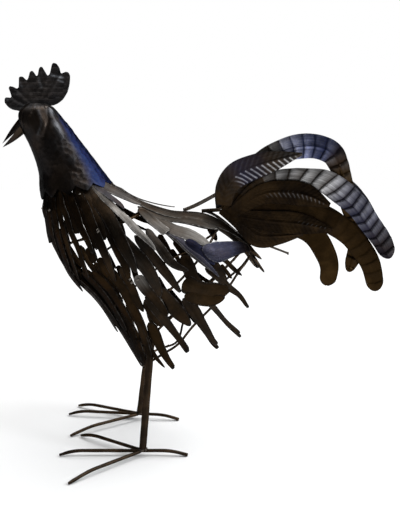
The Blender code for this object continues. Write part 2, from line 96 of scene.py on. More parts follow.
# %% Stage and light
SKY_SEEN = 1.0
SKY_LIGHT = 0.14
SUN_STRENGTH = 3.8
SUN_WIDTH = 80.0
SUN_TILT = (-8.0, 22.0)
LAMP_PLACE = (1.48, -0.52, 1.06)
LAMP_TARGET = (-0.02, 0.0, 0.28)
LAMP_SIZE = 0.40
LAMP_POWER = 12.0
LAMP_COLOUR = (0.93, 0.97, 1.0)
FLOOR_SIZE = 12.0
FLOOR_COLOUR = (0.90, 0.90, 0.90, 1.0)


def make_sky():
    world = bpy.data.worlds.new("sky")
    bpy.context.scene.world = world
    world.use_nodes = True
    tree = world.node_tree
    sky = tree.nodes["Background"]
    sky.inputs["Color"].default_value = (1.0, 1.0, 1.0, 1.0)
    ray = tree.nodes.new("ShaderNodeLightPath")
    strength = tree.nodes.new("ShaderNodeMix")
    strength.inputs["A"].default_value = SKY_LIGHT
    strength.inputs["B"].default_value = SKY_SEEN
    tree.links.new(ray.outputs["Is Camera Ray"], strength.inputs["Factor"])
    tree.links.new(strength.outputs["Result"], sky.inputs["Strength"])


def make_sun():
    sun = bpy.data.lights.new("soft sun", "SUN")
    sun.energy = SUN_STRENGTH
    sun.angle = math.radians(SUN_WIDTH)
    hang("soft sun", sun, turn=(math.radians(SUN_TILT[0]), math.radians(SUN_TILT[1]), 0.0))


def make_lamp():
    lamp = bpy.data.lights.new("tail lamp", "AREA")
    lamp.shape = "DISK"
    lamp.size = LAMP_SIZE
    lamp.energy = LAMP_POWER
    lamp.color = LAMP_COLOUR
    aim = np.array(LAMP_TARGET) - np.array(LAMP_PLACE)
    turn = math.atan2(aim[1], aim[0]) - math.pi / 2
    tilt = math.acos(-aim[2] / np.linalg.norm(aim))
    hang("tail lamp", lamp, LAMP_PLACE, (tilt, 0.0, turn))


def make_floor():
    bpy.ops.mesh.primitive_plane_add(size=FLOOR_SIZE)
    floor = bpy.context.object
    floor.name = "floor"
    paper = bpy.data.materials.new("pale floor")
    paper.use_nodes = True
    shader = paper.node_tree.nodes["Principled BSDF"]
    shader.inputs["Base Color"].default_value = FLOOR_COLOUR
    shader.inputs["Roughness"].default_value = 0.9
    shader.inputs["Specular IOR Level"].default_value = 0.1
    floor.data.materials.append(paper)


make_sky()
make_floor()
make_sun()
make_lamp()
bpy.context.scene.view_settings.view_transform = "Standard"
print("lights:", [light.name for light in bpy.data.lights])

# %% [markdown]
# The finishes share a few effects, and each is a node group that a material can place with
# its own values. The bird is sheet steel under a thin dark brown lacquer. The lacquer is
# mottled, and on the upper strips it turns to grey steel, which is partly brushed steel and
# partly a painted highlight where the light from above falls. A painted blue sheen, a
# reflection, lies on the nape and on some upper sheets, and edges are rubbed bare. A few
# small helpers keep the node trees short enough to read, where wiring them by hand would take
# five times the lines.

# %% Helpers for shader trees


def feed(tree, socket, value):
    """Set a socket to a value, or link it to the other node's socket that value is."""
    if isinstance(value, bpy.types.NodeSocket):
        tree.links.new(value, socket)
    else:
        socket.default_value = value


def add(tree, kind, settings=None, **inputs):
    """A node with its settings and inputs."""
    node = tree.nodes.new(kind)
    for name, value in (settings or {}).items():
        setattr(node, name, value)
    for name, value in inputs.items():
        feed(tree, node.inputs[name.replace("_", " ")], value)
    return node


def new_group(name, inputs, outputs):
    """A node group with numbers as sockets; inputs gives each one's usual value."""
    group = bpy.data.node_groups.new(name, "ShaderNodeTree")
    for socket_name, value in inputs.items():
        socket = group.interface.new_socket(socket_name, in_out="INPUT", socket_type="NodeSocketFloat")
        socket.default_value = value
    for socket_name in outputs:
        group.interface.new_socket(socket_name, in_out="OUTPUT", socket_type="NodeSocketFloat")
    start = group.nodes.new("NodeGroupInput")
    end = group.nodes.new("NodeGroupOutput")
    print(f"group {name}: {', '.join(inputs)} to {', '.join(outputs)}")
    return group, start.outputs, end.inputs


def place_group(tree, group, **inputs):
    return add(tree, "ShaderNodeGroup", {"node_tree": group}, **inputs).outputs


def math_node(tree, operation, a, b, clamp=False):
    node = add(tree, "ShaderNodeMath", {"operation": operation, "use_clamp": clamp})
    feed(tree, node.inputs[0], a)
    feed(tree, node.inputs[1], b)
    return node.outputs[0]


def blend_colours(tree, share, first, second):
    node = add(tree, "ShaderNodeMix", {"data_type": "RGBA"})
    for socket, value in zip((node.inputs[0], node.inputs[6], node.inputs[7]), (share, first, second)):
        feed(tree, socket, value)
    return node.outputs[2]


def map_range(tree, value, low, high, new_low=0.0, new_high=1.0):
    node = add(tree, "ShaderNodeMapRange", {"interpolation_type": "SMOOTHSTEP"}, Value=value,
               From_Min=low, From_Max=high, To_Min=new_low, To_Max=new_high)
    return node.outputs["Result"]


def noise(tree, vector, scale, detail=3.0, roughness=0.6):
    return add(tree, "ShaderNodeTexNoise", Vector=vector, Scale=scale, Detail=detail,
               Roughness=roughness).outputs["Fac"]


def mark(tree, name, output="Fac"):
    """What the mesh's mark of that name says at each point."""
    return add(tree, "ShaderNodeAttribute", {"attribute_name": name}).outputs[output]


def object_place(tree):
    return add(tree, "ShaderNodeTexCoord").outputs["Object"]


print("node groups so far:", len(bpy.data.node_groups))

# %% [markdown]
# Mottle is the cloudy patchwork of a lacquer that was wiped on by hand. One noise would look
# airbrushed. Two of unlike size are enough: a broad one that moves between brown and black,
# and a fine one that breaks it up.

# %% Group: mottled lacquer
PATCH_EDGES = (0.36, 0.66)
SPECK_EDGES = (0.40, 0.72)
SPECKS_FINER = 14.0


def mottle_group():
    group, given, out = new_group("mottled lacquer", {"Scale": 30.0}, ["Patches", "Specks"])
    place = object_place(group)
    broad = noise(group, place, given["Scale"], 4.0)
    fine = noise(group, place, math_node(group, "MULTIPLY", given["Scale"], SPECKS_FINER), 2.0, 0.5)
    feed(group, out["Patches"], map_range(group, broad, *PATCH_EDGES))
    feed(group, out["Specks"], map_range(group, fine, *SPECK_EDGES))
    return group


MOTTLE = mottle_group()

# %% [markdown]
# Brushed streaks run along each strip and blade. A texture laid on by object place would run
# straight through the bird, so every sheet carries a mark called "grain": the distance along
# it, the distance across it and a number of its own. Noise that is squeezed along the first
# of these reads as strokes of a wire brush.

# %% Group: brushed streaks
FINE_STROKES = (26.0, 900.0, 7.3)
BROAD_STROKES = (22.0, 190.0, 5.1)
STREAK_EDGES = (0.34, 0.68)
BAND_EDGES = (0.30, 0.70)


def squeezed(tree, vector, factors):
    node = add(tree, "ShaderNodeVectorMath", {"operation": "MULTIPLY"})
    feed(tree, node.inputs[0], vector)
    node.inputs[1].default_value = factors
    return node.outputs[0]


def streak_group():
    group, given, out = new_group("brushed streaks", {"Fineness": 1.0}, ["Streaks", "Bands"])
    grain = mark(group, "grain", "Vector")
    scaled = add(group, "ShaderNodeVectorMath", {"operation": "SCALE"}, Scale=given["Fineness"])
    feed(group, scaled.inputs[0], squeezed(group, grain, FINE_STROKES))
    lines = noise(group, scaled.outputs[0], 1.0)
    bands = noise(group, squeezed(group, grain, BROAD_STROKES), 1.0, 2.0, 0.5)
    feed(group, out["Streaks"], map_range(group, lines, *STREAK_EDGES))
    feed(group, out["Bands"], map_range(group, bands, *BAND_EDGES))
    return group


STREAKS = streak_group()

# %% [markdown]
# Worn edges are where hands and cloths reach. Blender can find edges by itself with
# Pointiness, but a thin sheet confuses it. Here the mark "edge" is one along the rim of a
# sheet and falls to nothing a little way in, and noise breaks the line so that it isn't a
# border.

# %% Group: worn edges
WEAR_NOISE = 260.0
WEAR_EDGES = (0.34, 0.62)


def wear_group():
    group, given, out = new_group("worn edges", {"Reach": 0.5}, ["Bare"])
    grown = math_node(group, "MULTIPLY", mark(group, "edge"), given["Reach"])
    broken = math_node(group, "SUBTRACT", noise(group, object_place(group), WEAR_NOISE), 0.5)
    both = math_node(group, "ADD", grown, broken)
    feed(group, out["Bare"], map_range(group, both, *WEAR_EDGES))
    return group


WEAR = wear_group()

# %% [markdown]
# The skin of the metal is never flat under a lamp: the lacquer has orange peel, the sheet
# has mill scale. Modelling that would take millions of faces, so this group gives one height
# for a Bump node and one mask for the roughness.

# %% Group: metal skin
PEEL_NOISE = 520.0
WAVE_NOISE = 120.0
DULL_NOISE = 60.0
PEEL_SHARE = 0.35
DULL_EDGES = (0.35, 0.65)


def skin_group():
    group, given, out = new_group("metal skin", {"Scale": 1.0}, ["Height", "Dull"])
    place = object_place(group)
    peel, waves, dull = (
        noise(group, place, math_node(group, "MULTIPLY", given["Scale"], scale), detail, roughness)
        for scale, detail, roughness in ((PEEL_NOISE, 2.0, 0.5), (WAVE_NOISE, 2.0, 0.5),
                                         (DULL_NOISE, 3.0, 0.6)))
    peel = math_node(group, "MULTIPLY", peel, PEEL_SHARE)
    feed(group, out["Height"], math_node(group, "ADD", peel, waves))
    feed(group, out["Dull"], map_range(group, dull, *DULL_EDGES))
    return group


SKIN = skin_group()

# %% [markdown]
# Dust settles on what faces up and stays on a sculpture that stands about in a room. It
# could be painted on by hand, sheet by sheet. Reading the surface normal in the world does
# the same for all of them, and noise leaves it thin and broken.

# %% Group: settled dust
FACING_UP = (0.35, 0.95)
DUST_NOISE = 95.0
DUST_EDGES = (0.38, 0.68)


def dust_group():
    group, given, out = new_group("settled dust", {"Amount": 0.3}, ["Dust"])
    normal = add(group, "ShaderNodeNewGeometry").outputs["Normal"]
    up = add(group, "ShaderNodeSeparateXYZ", Vector=normal).outputs["Z"]
    broken = noise(group, object_place(group), DUST_NOISE, 5.0, 0.65)
    patchy = math_node(group, "MULTIPLY", map_range(group, up, *FACING_UP),
                       map_range(group, broken, *DUST_EDGES))
    feed(group, out["Dust"], math_node(group, "MULTIPLY", patchy, given["Amount"]))
    return group


DUST = dust_group()

# %% [markdown]
# One recipe makes the four metals, and each could have been its own material. They are one
# because they are one on the real bird: dark lacquer mottled with brown, warmed to ochre as
# far as the mark "warm" says, sooty towards its edges, rubbed bare at its edges and dusty on
# top. The recipe also turns it grey as far as "tone" says, which is partly brushed steel and
# partly a painted highlight, and tints it with a painted blue sheen, a reflection, as far as
# the mark of the sheen says. The metals differ in the values that they hand to the recipe.

# %% Recipe of a metal
METALLIC = 0.92
COAT_ROUGHNESS = 0.22
BARE_STEEL = (0.42, 0.40, 0.38, 1.0)
# The two blues of a painted blue sheen, a reflection: dark where the tone is low, pale where it is high
SHEEN_DARK_BLUE = (0.006, 0.013, 0.048, 1.0)
SHEEN_PALE_BLUE = (0.150, 0.175, 0.360, 1.0)
DUST_GREY = (0.22, 0.20, 0.18, 1.0)
OCHRE = (0.066, 0.036, 0.010, 1.0)
SOOT = (0.0022, 0.0014, 0.0010, 1.0)
MOTTLE_SCALE = 34.0
SOOT_COVER = 0.85
STREAK_SHARE = 0.55
BAND_SHARE = 0.45
TONE_CURVE = 1.5
LEAST_BRUSHED = 0.45
SPECKS_HIDE_BLUE = 0.72
RUBBED_ANYWHERE = 0.012
SKIN_DEPTH = 0.0004
STREAK_DEPTH = 0.35
SMOOTHER = 0.06
ROUGHER = 0.10
DUST_DULLS = 0.5
RUBBING_SHINES = 0.08


def lacquer_colour(tree, mottle, dark, brown):
    lacquer = blend_colours(tree, mottle["Patches"], dark, brown)
    lacquer = blend_colours(tree, mark(tree, "warm"), lacquer, OCHRE)
    return blend_colours(tree, math_node(tree, "MULTIPLY", mark(tree, "edge"), SOOT_COVER), lacquer, SOOT)


def steel_and_highlight_share(tree, streaks, tone):
    """How grey each point is: partly brushed steel and partly a painted highlight, as far as the tone says.
    """
    thin = math_node(tree, "ADD", math_node(tree, "MULTIPLY", streaks["Streaks"], STREAK_SHARE),
                     math_node(tree, "MULTIPLY", streaks["Bands"], BAND_SHARE))
    curved_tone = math_node(tree, "POWER", tone, TONE_CURVE)
    share = map_range(tree, thin, 0.0, 1.0, LEAST_BRUSHED, 1.0)
    return math_node(tree, "MULTIPLY", curved_tone, share, clamp=True)


def make_metal(name, dark, brown, grey, roughness, fineness, reach, dust, bump, skin_scale=1.0, coat=0.0,
               rim_tint=(0.25, 0.22, 0.19, 1.0)):
    material = bpy.data.materials.new(name)
    material.use_nodes = True
    tree = material.node_tree
    shader = tree.nodes["Principled BSDF"]
    shader.inputs["Metallic"].default_value = METALLIC
    shader.inputs["Specular Tint"].default_value = rim_tint
    shader.inputs["Coat Weight"].default_value = coat
    shader.inputs["Coat Roughness"].default_value = COAT_ROUGHNESS
    mottle = place_group(tree, MOTTLE, Scale=MOTTLE_SCALE)
    streaks = place_group(tree, STREAKS, Fineness=fineness)
    bare = place_group(tree, WEAR, Reach=reach)["Bare"]
    skin = place_group(tree, SKIN, Scale=skin_scale)
    settled = place_group(tree, DUST, Amount=dust)["Dust"]
    tone = mark(tree, "tone")
    # The grey share holds brushed steel and the painted highlights of the tone mark
    brushed = steel_and_highlight_share(tree, streaks, tone)
    colour = blend_colours(tree, brushed, lacquer_colour(tree, mottle, dark, brown), grey)
    # Painted reflection: the blue sheen goes on as far as its mark says, broken by specks
    specks = map_range(tree, mottle["Specks"], 0.0, 1.0, 1.0, SPECKS_HIDE_BLUE)
    sheened = blend_colours(tree, brushed, SHEEN_DARK_BLUE, SHEEN_PALE_BLUE)
    colour = blend_colours(tree, math_node(tree, "MULTIPLY", mark(tree, "blue"), specks), colour, sheened)
    # Bare edges show as far as the tone is high, so they follow its painted highlights too
    rubbed = math_node(tree, "MULTIPLY", bare, math_node(tree, "ADD", tone, RUBBED_ANYWHERE), clamp=True)
    colour = blend_colours(tree, rubbed, colour, BARE_STEEL)
    feed(tree, shader.inputs["Base Color"], blend_colours(tree, settled, colour, DUST_GREY))
    dull = map_range(tree, skin["Dull"], 0.0, 1.0, roughness - SMOOTHER, roughness + ROUGHER)
    dull = math_node(tree, "ADD", dull, math_node(tree, "MULTIPLY", settled, DUST_DULLS))
    shine = math_node(tree, "MULTIPLY", bare, RUBBING_SHINES)
    dull = math_node(tree, "SUBTRACT", dull, shine, clamp=True)
    feed(tree, shader.inputs["Roughness"], dull)
    scratches = math_node(tree, "MULTIPLY", streaks["Streaks"], STREAK_DEPTH)
    height = math_node(tree, "ADD", skin["Height"], scratches)
    relief = add(tree, "ShaderNodeBump", Height=height, Strength=bump, Distance=SKIN_DEPTH)
    feed(tree, shader.inputs["Normal"], relief.outputs["Normal"])
    print(f"metal {name}: {len(tree.nodes)} nodes")
    return material


# %% [markdown]
# The neck is nearly black and semi-gloss, the strips and the blades are browner with a paler
# steel under the lacquer, and the rods are the roughest and the rustiest. Each could have
# nodes of its own, but values are enough to set them apart: the dark and the brown of the
# lacquer, the steel beneath it, and how rough, worn and dusty it all is.

# %% The four metals
NECK_METAL = make_metal(
    "hammered neck metal", dark=(0.008, 0.006, 0.005, 1.0), brown=(0.018, 0.012, 0.008, 1.0),
    grey=(0.270, 0.285, 0.315, 1.0), roughness=0.34, fineness=0.6, reach=0.42, dust=0.02, bump=0.35,
    coat=0.04, rim_tint=(0.10, 0.12, 0.16, 1.0))
STRIP_METAL = make_metal(
    "brushed strip metal", dark=(0.006, 0.0034, 0.0012, 1.0), brown=(0.018, 0.0096, 0.0034, 1.0),
    grey=(0.360, 0.348, 0.330, 1.0), roughness=0.38, fineness=1.0, reach=0.52, dust=0.02, bump=0.45)
FEATHER_METAL = make_metal(
    "tempered feather metal", dark=(0.007, 0.004, 0.002, 1.0), brown=(0.023, 0.013, 0.005, 1.0),
    grey=(0.560, 0.555, 0.560, 1.0), roughness=0.34, fineness=0.8, reach=0.46, dust=0.02, bump=0.35)
ROD_METAL = make_metal(
    "rod metal", dark=(0.018, 0.011, 0.006, 1.0), brown=(0.055, 0.034, 0.018, 1.0),
    grey=(0.300, 0.280, 0.255, 1.0), roughness=0.40, fineness=1.3, reach=0.35, dust=0.05, bump=0.6,
    skin_scale=1.6)

# %% [markdown]
# Everything on the body is placed in the body's own terms: a ring, counted from the crown of
# the head to the rump, and an angle round it. Sheets could be placed in metres one by one,
# but the rings are the ones that the frame was built on, so a strip that is given by ring
# and angle lies on its hoop by itself.

# %% The body form
# Each ring's front point (x, z), back point (x, z) and half width
RINGS = np.array([
    (-0.2220, 0.4470, -0.1990, 0.4475, 0.0090),
    (-0.2325, 0.4370, -0.1880, 0.4430, 0.0200),
    (-0.2330, 0.4260, -0.1780, 0.4310, 0.0255),
    (-0.2290, 0.4130, -0.1680, 0.4190, 0.0285),
    (-0.2210, 0.3960, -0.1560, 0.4020, 0.0310),
    (-0.2142, 0.3780, -0.1430, 0.3850, 0.0340),
    (-0.2090, 0.3560, -0.1290, 0.3660, 0.0370),
    (-0.2065, 0.3340, -0.1150, 0.3500, 0.0410),
    (-0.2025, 0.3050, -0.0990, 0.3340, 0.0470),
    (-0.1955, 0.2725, -0.0750, 0.3205, 0.0560),
    (-0.1740, 0.2335, -0.0360, 0.3100, 0.0660),
    (-0.1360, 0.1935, 0.0130, 0.3040, 0.0720),
    (-0.1055, 0.1465, 0.0500, 0.2740, 0.0700),
    (-0.0805, 0.1040, 0.0660, 0.2470, 0.0620),
])


def spline(points, t):
    """Points at t, counted in control points, on a smooth curve through the rows of points."""
    t = np.asarray(t, float)
    points = np.asarray(points, float)
    last = len(points) - 1
    padded = np.vstack((2 * points[0] - points[1], points, 2 * points[-1] - points[-2]))
    i = np.clip(np.floor(t).astype(int), 0, last - 1)
    before, a, b, after = (padded[i + k] for k in range(4))
    f = np.minimum(t - i, 1.0)[..., None]
    beyond = np.maximum(t - last, 0.0)[..., None]
    inside = 0.5 * (2 * a + (b - before) * f + (2 * before - 5 * a + 4 * b - after) * f ** 2
                    + (3 * a - before - 3 * b + after) * f ** 3)
    return inside + beyond * (b - a)


def form(u, angle):
    """Points of the body form at ring u; angle 0 is the back, 90 the left side, 180 the breast."""
    u, angle = np.broadcast_arrays(np.asarray(u, float), np.asarray(angle, float))
    front_x, front_z, back_x, back_z, half = np.moveaxis(spline(RINGS, u), -1, 0)
    a = np.radians(angle)
    return np.stack(((front_x + back_x) / 2 + (back_x - front_x) / 2 * np.cos(a),
                     -half * np.sin(a),
                     (front_z + back_z) / 2 + (back_z - front_z) / 2 * np.cos(a)), -1)


def unit(vectors):
    return vectors / np.maximum(np.linalg.norm(vectors, axis=-1, keepdims=True), 1e-12)


def round_the_body(u, angle):
    """A short way round the body form, towards larger angles."""
    return form(u, angle + 1.0) - form(u, angle - 1.0)


def outward(u, angle):
    """The direction straight out of the body form."""
    return unit(np.cross(round_the_body(u, angle), form(u + 0.02, angle) - form(u - 0.02, angle)))


body_length = np.linalg.norm(np.diff(form(np.linspace(0, 13, 60), 90.0), axis=0), axis=1).sum()
print("left side, crown to rump:", round(float(body_length), 3), "m")

# %% [markdown]
# The strips lie on the cage, but at the shoulders they come out from under the neck. Two
# sheets in one place would flicker through each other, so whatever runs over the cage dips
# under the neck's sheet between two rings.

# %% Over the cage and under the neck
SHELL_SHEET = 0.0018
STRIP_SHEET = 0.0012
TUCK_GAP = 0.0008
TUCK_END = (7.28, 7.85)


def smooth_step(value, low, high):
    t = np.clip((value - low) / (high - low), 0.0, 1.0)
    return t * t * (3 - 2 * t)


def on_cage(u, angle, lift):
    """A point over the cage, which passes inside the neck's sheet where the neck covers it."""
    under = -(SHELL_SHEET + STRIP_SHEET + TUCK_GAP) * (1 - smooth_step(u, *TUCK_END))
    return form(u, angle) + outward(u, angle) * np.asarray(under + lift)[..., None]


print("strips dip", round((SHELL_SHEET + STRIP_SHEET + TUCK_GAP) * 1000, 1), "mm under the neck")

# %% [markdown]
# A piece of sheet is a loft: at each step along its middle line there is a flat ring of
# points, over the top, round one edge, back under and round the other edge. A plane with a
# Solidify modifier would do for plain plates. Lofted rings also give each sheet soft edges,
# and every point can carry the marks that the finishes read.

# %% The workbench: points, faces and marks of one piece
MARKS = ("tone", "blue", "warm", "edge")


class Bench:
    """Gathers lofted shapes and turns them into one piece."""

    def __init__(self):
        self.points, self.faces, self.grain, self.count = [], [], [], 0
        self.marks = {name: [] for name in MARKS}

    def loft(self, rings, grain, closed=False, **marks):
        """Rings of points (rows, ring, 3) joined in order; the ends are capped unless closed."""
        rows, size = rings.shape[:2]
        index = self.count + np.arange(rows * size).reshape(rows, size)
        near, far = (index, np.roll(index, -1, axis=0)) if closed else (index[:-1], index[1:])
        quads = np.stack((near, np.roll(near, -1, axis=1), np.roll(far, -1, axis=1), far), -1)
        self.faces += quads.reshape(-1, 4).tolist()
        if not closed:
            self.faces += [index[0][::-1].tolist(), index[-1].tolist()]
        self.points.append(rings.reshape(-1, 3))
        self.grain.append(np.broadcast_to(grain, rings.shape).reshape(-1, 3))
        for name in MARKS:
            values = np.broadcast_to(np.asarray(marks.get(name, 0.0), float), (rows, size))
            self.marks[name].append(values.ravel())
        self.count += rows * size

    def piece(self, name, material, slot, *nodes, sharp=38.0):
        """One piece of all the lofts, which stands for the nodes."""
        points = np.concatenate(self.points) + (0.0, MIDDLE_Y, 0.0)
        mesh = bpy.data.meshes.new(name)
        mesh.from_pydata(points.tolist(), [], self.faces)
        marks = {key: np.concatenate(values) for key, values in self.marks.items()}
        finish_piece(name, mesh, np.concatenate(self.grain), marks, material, nodes, sharp)


def finish_piece(name, mesh, grain, marks, material, nodes, sharp):
    """Turn a mesh's faces outwards, keep its marks on it and link it as a piece of the bird."""
    bm = bmesh.new()
    bm.from_mesh(mesh)
    bmesh.ops.recalc_face_normals(bm, faces=bm.faces)
    bm.to_mesh(mesh)
    bm.free()
    for key, values in marks.items():
        mesh.attributes.new(key, "FLOAT", "POINT").data.foreach_set("value", values.astype(np.float32))
    grain = grain.astype(np.float32).ravel()
    mesh.attributes.new("grain", "FLOAT_VECTOR", "POINT").data.foreach_set("vector", grain)
    mesh.shade_smooth()
    mesh.set_sharp_from_angle(angle=math.radians(sharp))
    mesh.materials.append(material)
    piece = bpy.data.objects.new(name, mesh)
    bpy.context.scene.collection.objects.link(piece)
    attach(piece, "root")
    if nodes:
        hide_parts(*nodes)
    print(f"{name}: {len(mesh.polygons)} faces")


print("marks on every point:", ", ".join(MARKS), "and grain")

# %% Rings of a sheet and their marks
EDGE_ROUNDING = 0.35


def sheet_rings(centre, across, normal, half, thickness, q, relief):
    """Rings of a sheet along a middle line; q runs across it and relief lifts its faces."""
    inset = np.clip(1 - EDGE_ROUNDING * thickness / np.maximum(half, 1e-5), 0.3, 1.0)
    offset = (half * inset)[:, None] * q
    surface = centre[:, None] + across[:, None] * offset[..., None] + normal[:, None] * relief[..., None]
    top = surface + normal[:, None] * thickness / 2
    bottom = surface - normal[:, None] * thickness / 2
    rim = (half * (1 - inset))[:, None]
    left = surface[:, 0] - across * rim
    right = surface[:, -1] + across * rim
    return np.concatenate((top, right[:, None], bottom[:, ::-1], left[:, None]), axis=1)


def ring_values(values, rim):
    """Spread values given across a sheet (rows, columns) round its ring, with the rims' own."""
    rims = np.full((len(values), 1), rim)
    return np.concatenate((values, rims, values[:, ::-1], rims), axis=1)


def along(t, value):
    """A mark along a sheet: one number all the way, or stops of (share of the length, number)."""
    if np.isscalar(value):
        return np.full(len(t), float(value))
    places, values = zip(*value)
    return np.interp(t, places, values)


def ring_grain(length, q, half, number):
    """The grain mark of a sheet: metres along, metres across and the sheet's own number."""
    across = half[:, None] * q
    rims = half[:, None]
    across = np.concatenate((across, rims, across[:, ::-1], -rims), axis=1)
    lengthwise = np.broadcast_to(length[:, None], across.shape)
    return np.stack((lengthwise, across, np.full(across.shape, float(number))), -1)


print("a strip's edges are rounded over", round(EDGE_ROUNDING * STRIP_SHEET * 1000, 2), "mm")

# %% [markdown]
# The strips are cut with snips from thin sheet: narrow where they are welded on, full soon
# after, and drawn to a rounded, pointed or square tip. Each is bent a little across, no two
# are quite alike, and the tips stand off the cage. Drawing each by hand would take weeks, and
# copies of one would show. Small seeded changes of width, roll and tone are enough.

# %% One strip
STRIP_COLUMNS = 7
STRIP_ROWS = 26
STRIP_CAMBER = 0.08
RIPPLE = 0.00035
TWIST = math.radians(4.0)
UNEVEN_WIDTH = 0.035
ROOT_LENGTH = 0.25
SQUARE_FROM = 0.30
random = np.random.default_rng(7)


def strip_outline(t, blunt, root, cut):
    """The share of a strip's width at t of its length; cut is the share left at a square tip."""
    if cut is None:
        tip = (1 - np.minimum(t, 1.0) ** (2.2 + 5 * blunt)) ** 0.62
    else:
        corner = np.sqrt(np.clip(1 - (np.maximum(t - 0.965, 0) / 0.037) ** 2, 0.0, 1.0))
        drawn = np.clip((t - SQUARE_FROM) / (1 - SQUARE_FROM), 0, 1) ** 1.15
        tip = (1 - (1 - cut) * drawn) * (0.45 + 0.55 * corner)
    narrow = root + (1 - root) * smooth_step(t, 0.0, ROOT_LENGTH)
    rounded = np.sqrt(np.clip(1 - (1 - np.minimum(t / 0.10, 1.0)) ** 2, 0.05, 1.0))
    return (0.10 + 0.90 * tip) * narrow * rounded


def strip(bench, path, width, lift, tone, blunt=0.4, blue=0.0, warm=0.0, root=0.72, roll=0.0, wave=1.0,
          cut=None):
    """A strip along (ring, angle) points, its underside lifted off the cage from root to tip."""
    path = np.asarray(path, float)
    route = spline(path, np.linspace(0, len(path) - 1, 80))
    trace = form(route[:, 0], route[:, 1])
    travelled = np.concatenate(([0.0], np.cumsum(np.linalg.norm(np.diff(trace, axis=0), axis=1))))
    t = 1 - (1 - np.linspace(0, 1, STRIP_ROWS)) ** 1.25
    u, angle = np.array([np.interp(t * travelled[-1], travelled, column) for column in route.T])
    phase, bend = random.uniform(0, 6.28, 2)
    ripple = RIPPLE * wave * np.sin(6.0 * t + phase)
    centre = on_cage(u, angle, lift[0] + (lift[1] - lift[0]) * t ** 1.3 + STRIP_SHEET / 2 + ripple)
    heading = unit(np.gradient(centre, axis=0))
    across = unit(np.cross(outward(u, angle), heading))
    normal = unit(np.cross(heading, across))
    turn = (math.radians(roll) + TWIST * wave * np.sin(3.0 * t + bend))[:, None] * np.ones(3)
    across, normal = (across * np.cos(turn) + normal * np.sin(turn),
                      normal * np.cos(turn) - across * np.sin(turn))
    half = width / 2 * strip_outline(t, blunt, root, cut)
    half = half * (1 + UNEVEN_WIDTH * wave * np.sin(9.0 * t + bend))
    q = np.linspace(-1.0, 1.0, STRIP_COLUMNS)
    camber = -STRIP_CAMBER * half[:, None] * q ** 2
    rings = sheet_rings(centre, across, normal, half, STRIP_SHEET, q, camber)
    edge = ring_values(np.clip(np.abs(q) * 2.6 - 1.7, 0, 1) * np.ones((len(t), 1)), 1.0)
    edge = np.maximum(edge, smooth_step(t, 0.94, 1.0)[:, None])
    shade = (along(t, tone) * (0.85 + 0.15 * np.sin(4.0 * t + phase)))[:, None]
    number = random.uniform(0, 90)
    bench.loft(rings, ring_grain(t * travelled[-1], q, half, number), tone=shade,
               blue=along(t, blue)[:, None], warm=along(t, warm)[:, None], edge=edge)


print("a strip:", STRIP_ROWS, "rings of", 2 * STRIP_COLUMNS + 2, "points")

# %% [markdown]
# The sculpture isn't the same on both sides: the slits of its left side are where the picture
# shows daylight through the bird. A plain mirror would put the right side's strips in those
# slits. So the right side takes the same strips, mirrored and turned a little round the body,
# which brings its slits behind those of the left side as the camera sees them.

# %% The two sides


def behind(u, angle):
    """The ring and angle on the right side that the camera sees behind a point of the left side."""
    a = math.radians(angle)
    lean = float(smooth_step(u, 10.0, 12.6))
    front = (12 + 0.08 * angle) * float(smooth_step(angle, 0, 35) * (1 - smooth_step(angle, 140, 180)))
    turn = front * (1 - lean) + 9 * (1 - math.cos(a)) * lean
    slip = 0.10 + 0.09 * (u - 9.2) + 0.14 * float(smooth_step(u, 11.5, 12.1))
    slip *= math.sqrt(max(math.sin(a), 0.0)) * (1 - 0.3 * float(smooth_step(angle, 90, 125)))
    return u + max(slip, 0.0), angle + turn


def side_path(path, side):
    if side == "left":
        return path
    return [(u, 360 - angle) for u, angle in (behind(*point) for point in path)]


def strip_pieces(table):
    """A piece for each strip that has a node of its own, on both sides."""
    for name, (path, width, looks) in table.items():
        for side in ("left", "right"):
            bench = Bench()
            strip(bench, side_path(path, side), width, **looks)
            node = name.format(side)
            bench.piece(node + "_sheet", STRIP_METAL, "strip_metal", node)


def strip_rows(name, rows, *nodes):
    """One piece of many strips, on both sides."""
    bench = Bench()
    for path, width, looks in rows:
        for side in ("left", "right"):
            strip(bench, side_path(path, side), width, **looks)
    bench.piece(name, STRIP_METAL, "strip_metal", *nodes)


print("behind ring 11, angle 60 lies ring {:.2f}, angle {:.0f}".format(*behind(11.0, 60.0)))

# %% [markdown]
# Hackles are the long strips that come out from under the neck rim and lie over the shoulder.
# One strip copied round the neck would look like a fringe from a machine. So a table says of
# each where it runs (ring, angle), how wide it is and what sets it apart. The lift is how
# far it stands off the cage at its root and its tip, and neighbours differ in it, so that
# they pass over and under each other.

# %% Hackles
# The blue of the first two hackles is a painted sheen, a reflection, and the high tone of the third is
# partly a painted highlight along it
HACKLES = {
    "hackle_strip_{}_1": ([(6.85, 38), (7.85, 31), (8.56, 26), (9.15, 27)], 0.0165,
                          dict(lift=(0.0022, 0.0050), tone=0.38, blue=0.05)),
    "hackle_strip_{}_2": ([(6.85, 52), (8.10, 47), (8.62, 46), (9.02, 50)], 0.0085,
                          dict(lift=(0.0012, 0.0062), tone=0.25, blue=0.15)),
    "hackle_strip_{}_3": ([(6.85, 58), (7.93, 55), (8.56, 54), (9.40, 59), (10.09, 67), (10.78, 77)],
                          0.0100, dict(lift=(0.0006, 0.0085), root=0.45, blunt=0.8,
                                       tone=((0, 0.26), (0.3, 0.38), (0.42, 0.86), (1, 0.92)))),
    "hackle_strip_{}_4": ([(6.85, 62), (8.00, 65), (8.82, 67), (9.82, 80), (10.53, 93), (10.94, 101)],
                          0.0178, dict(lift=(0.0008, 0.0040), tone=0.10)),
}
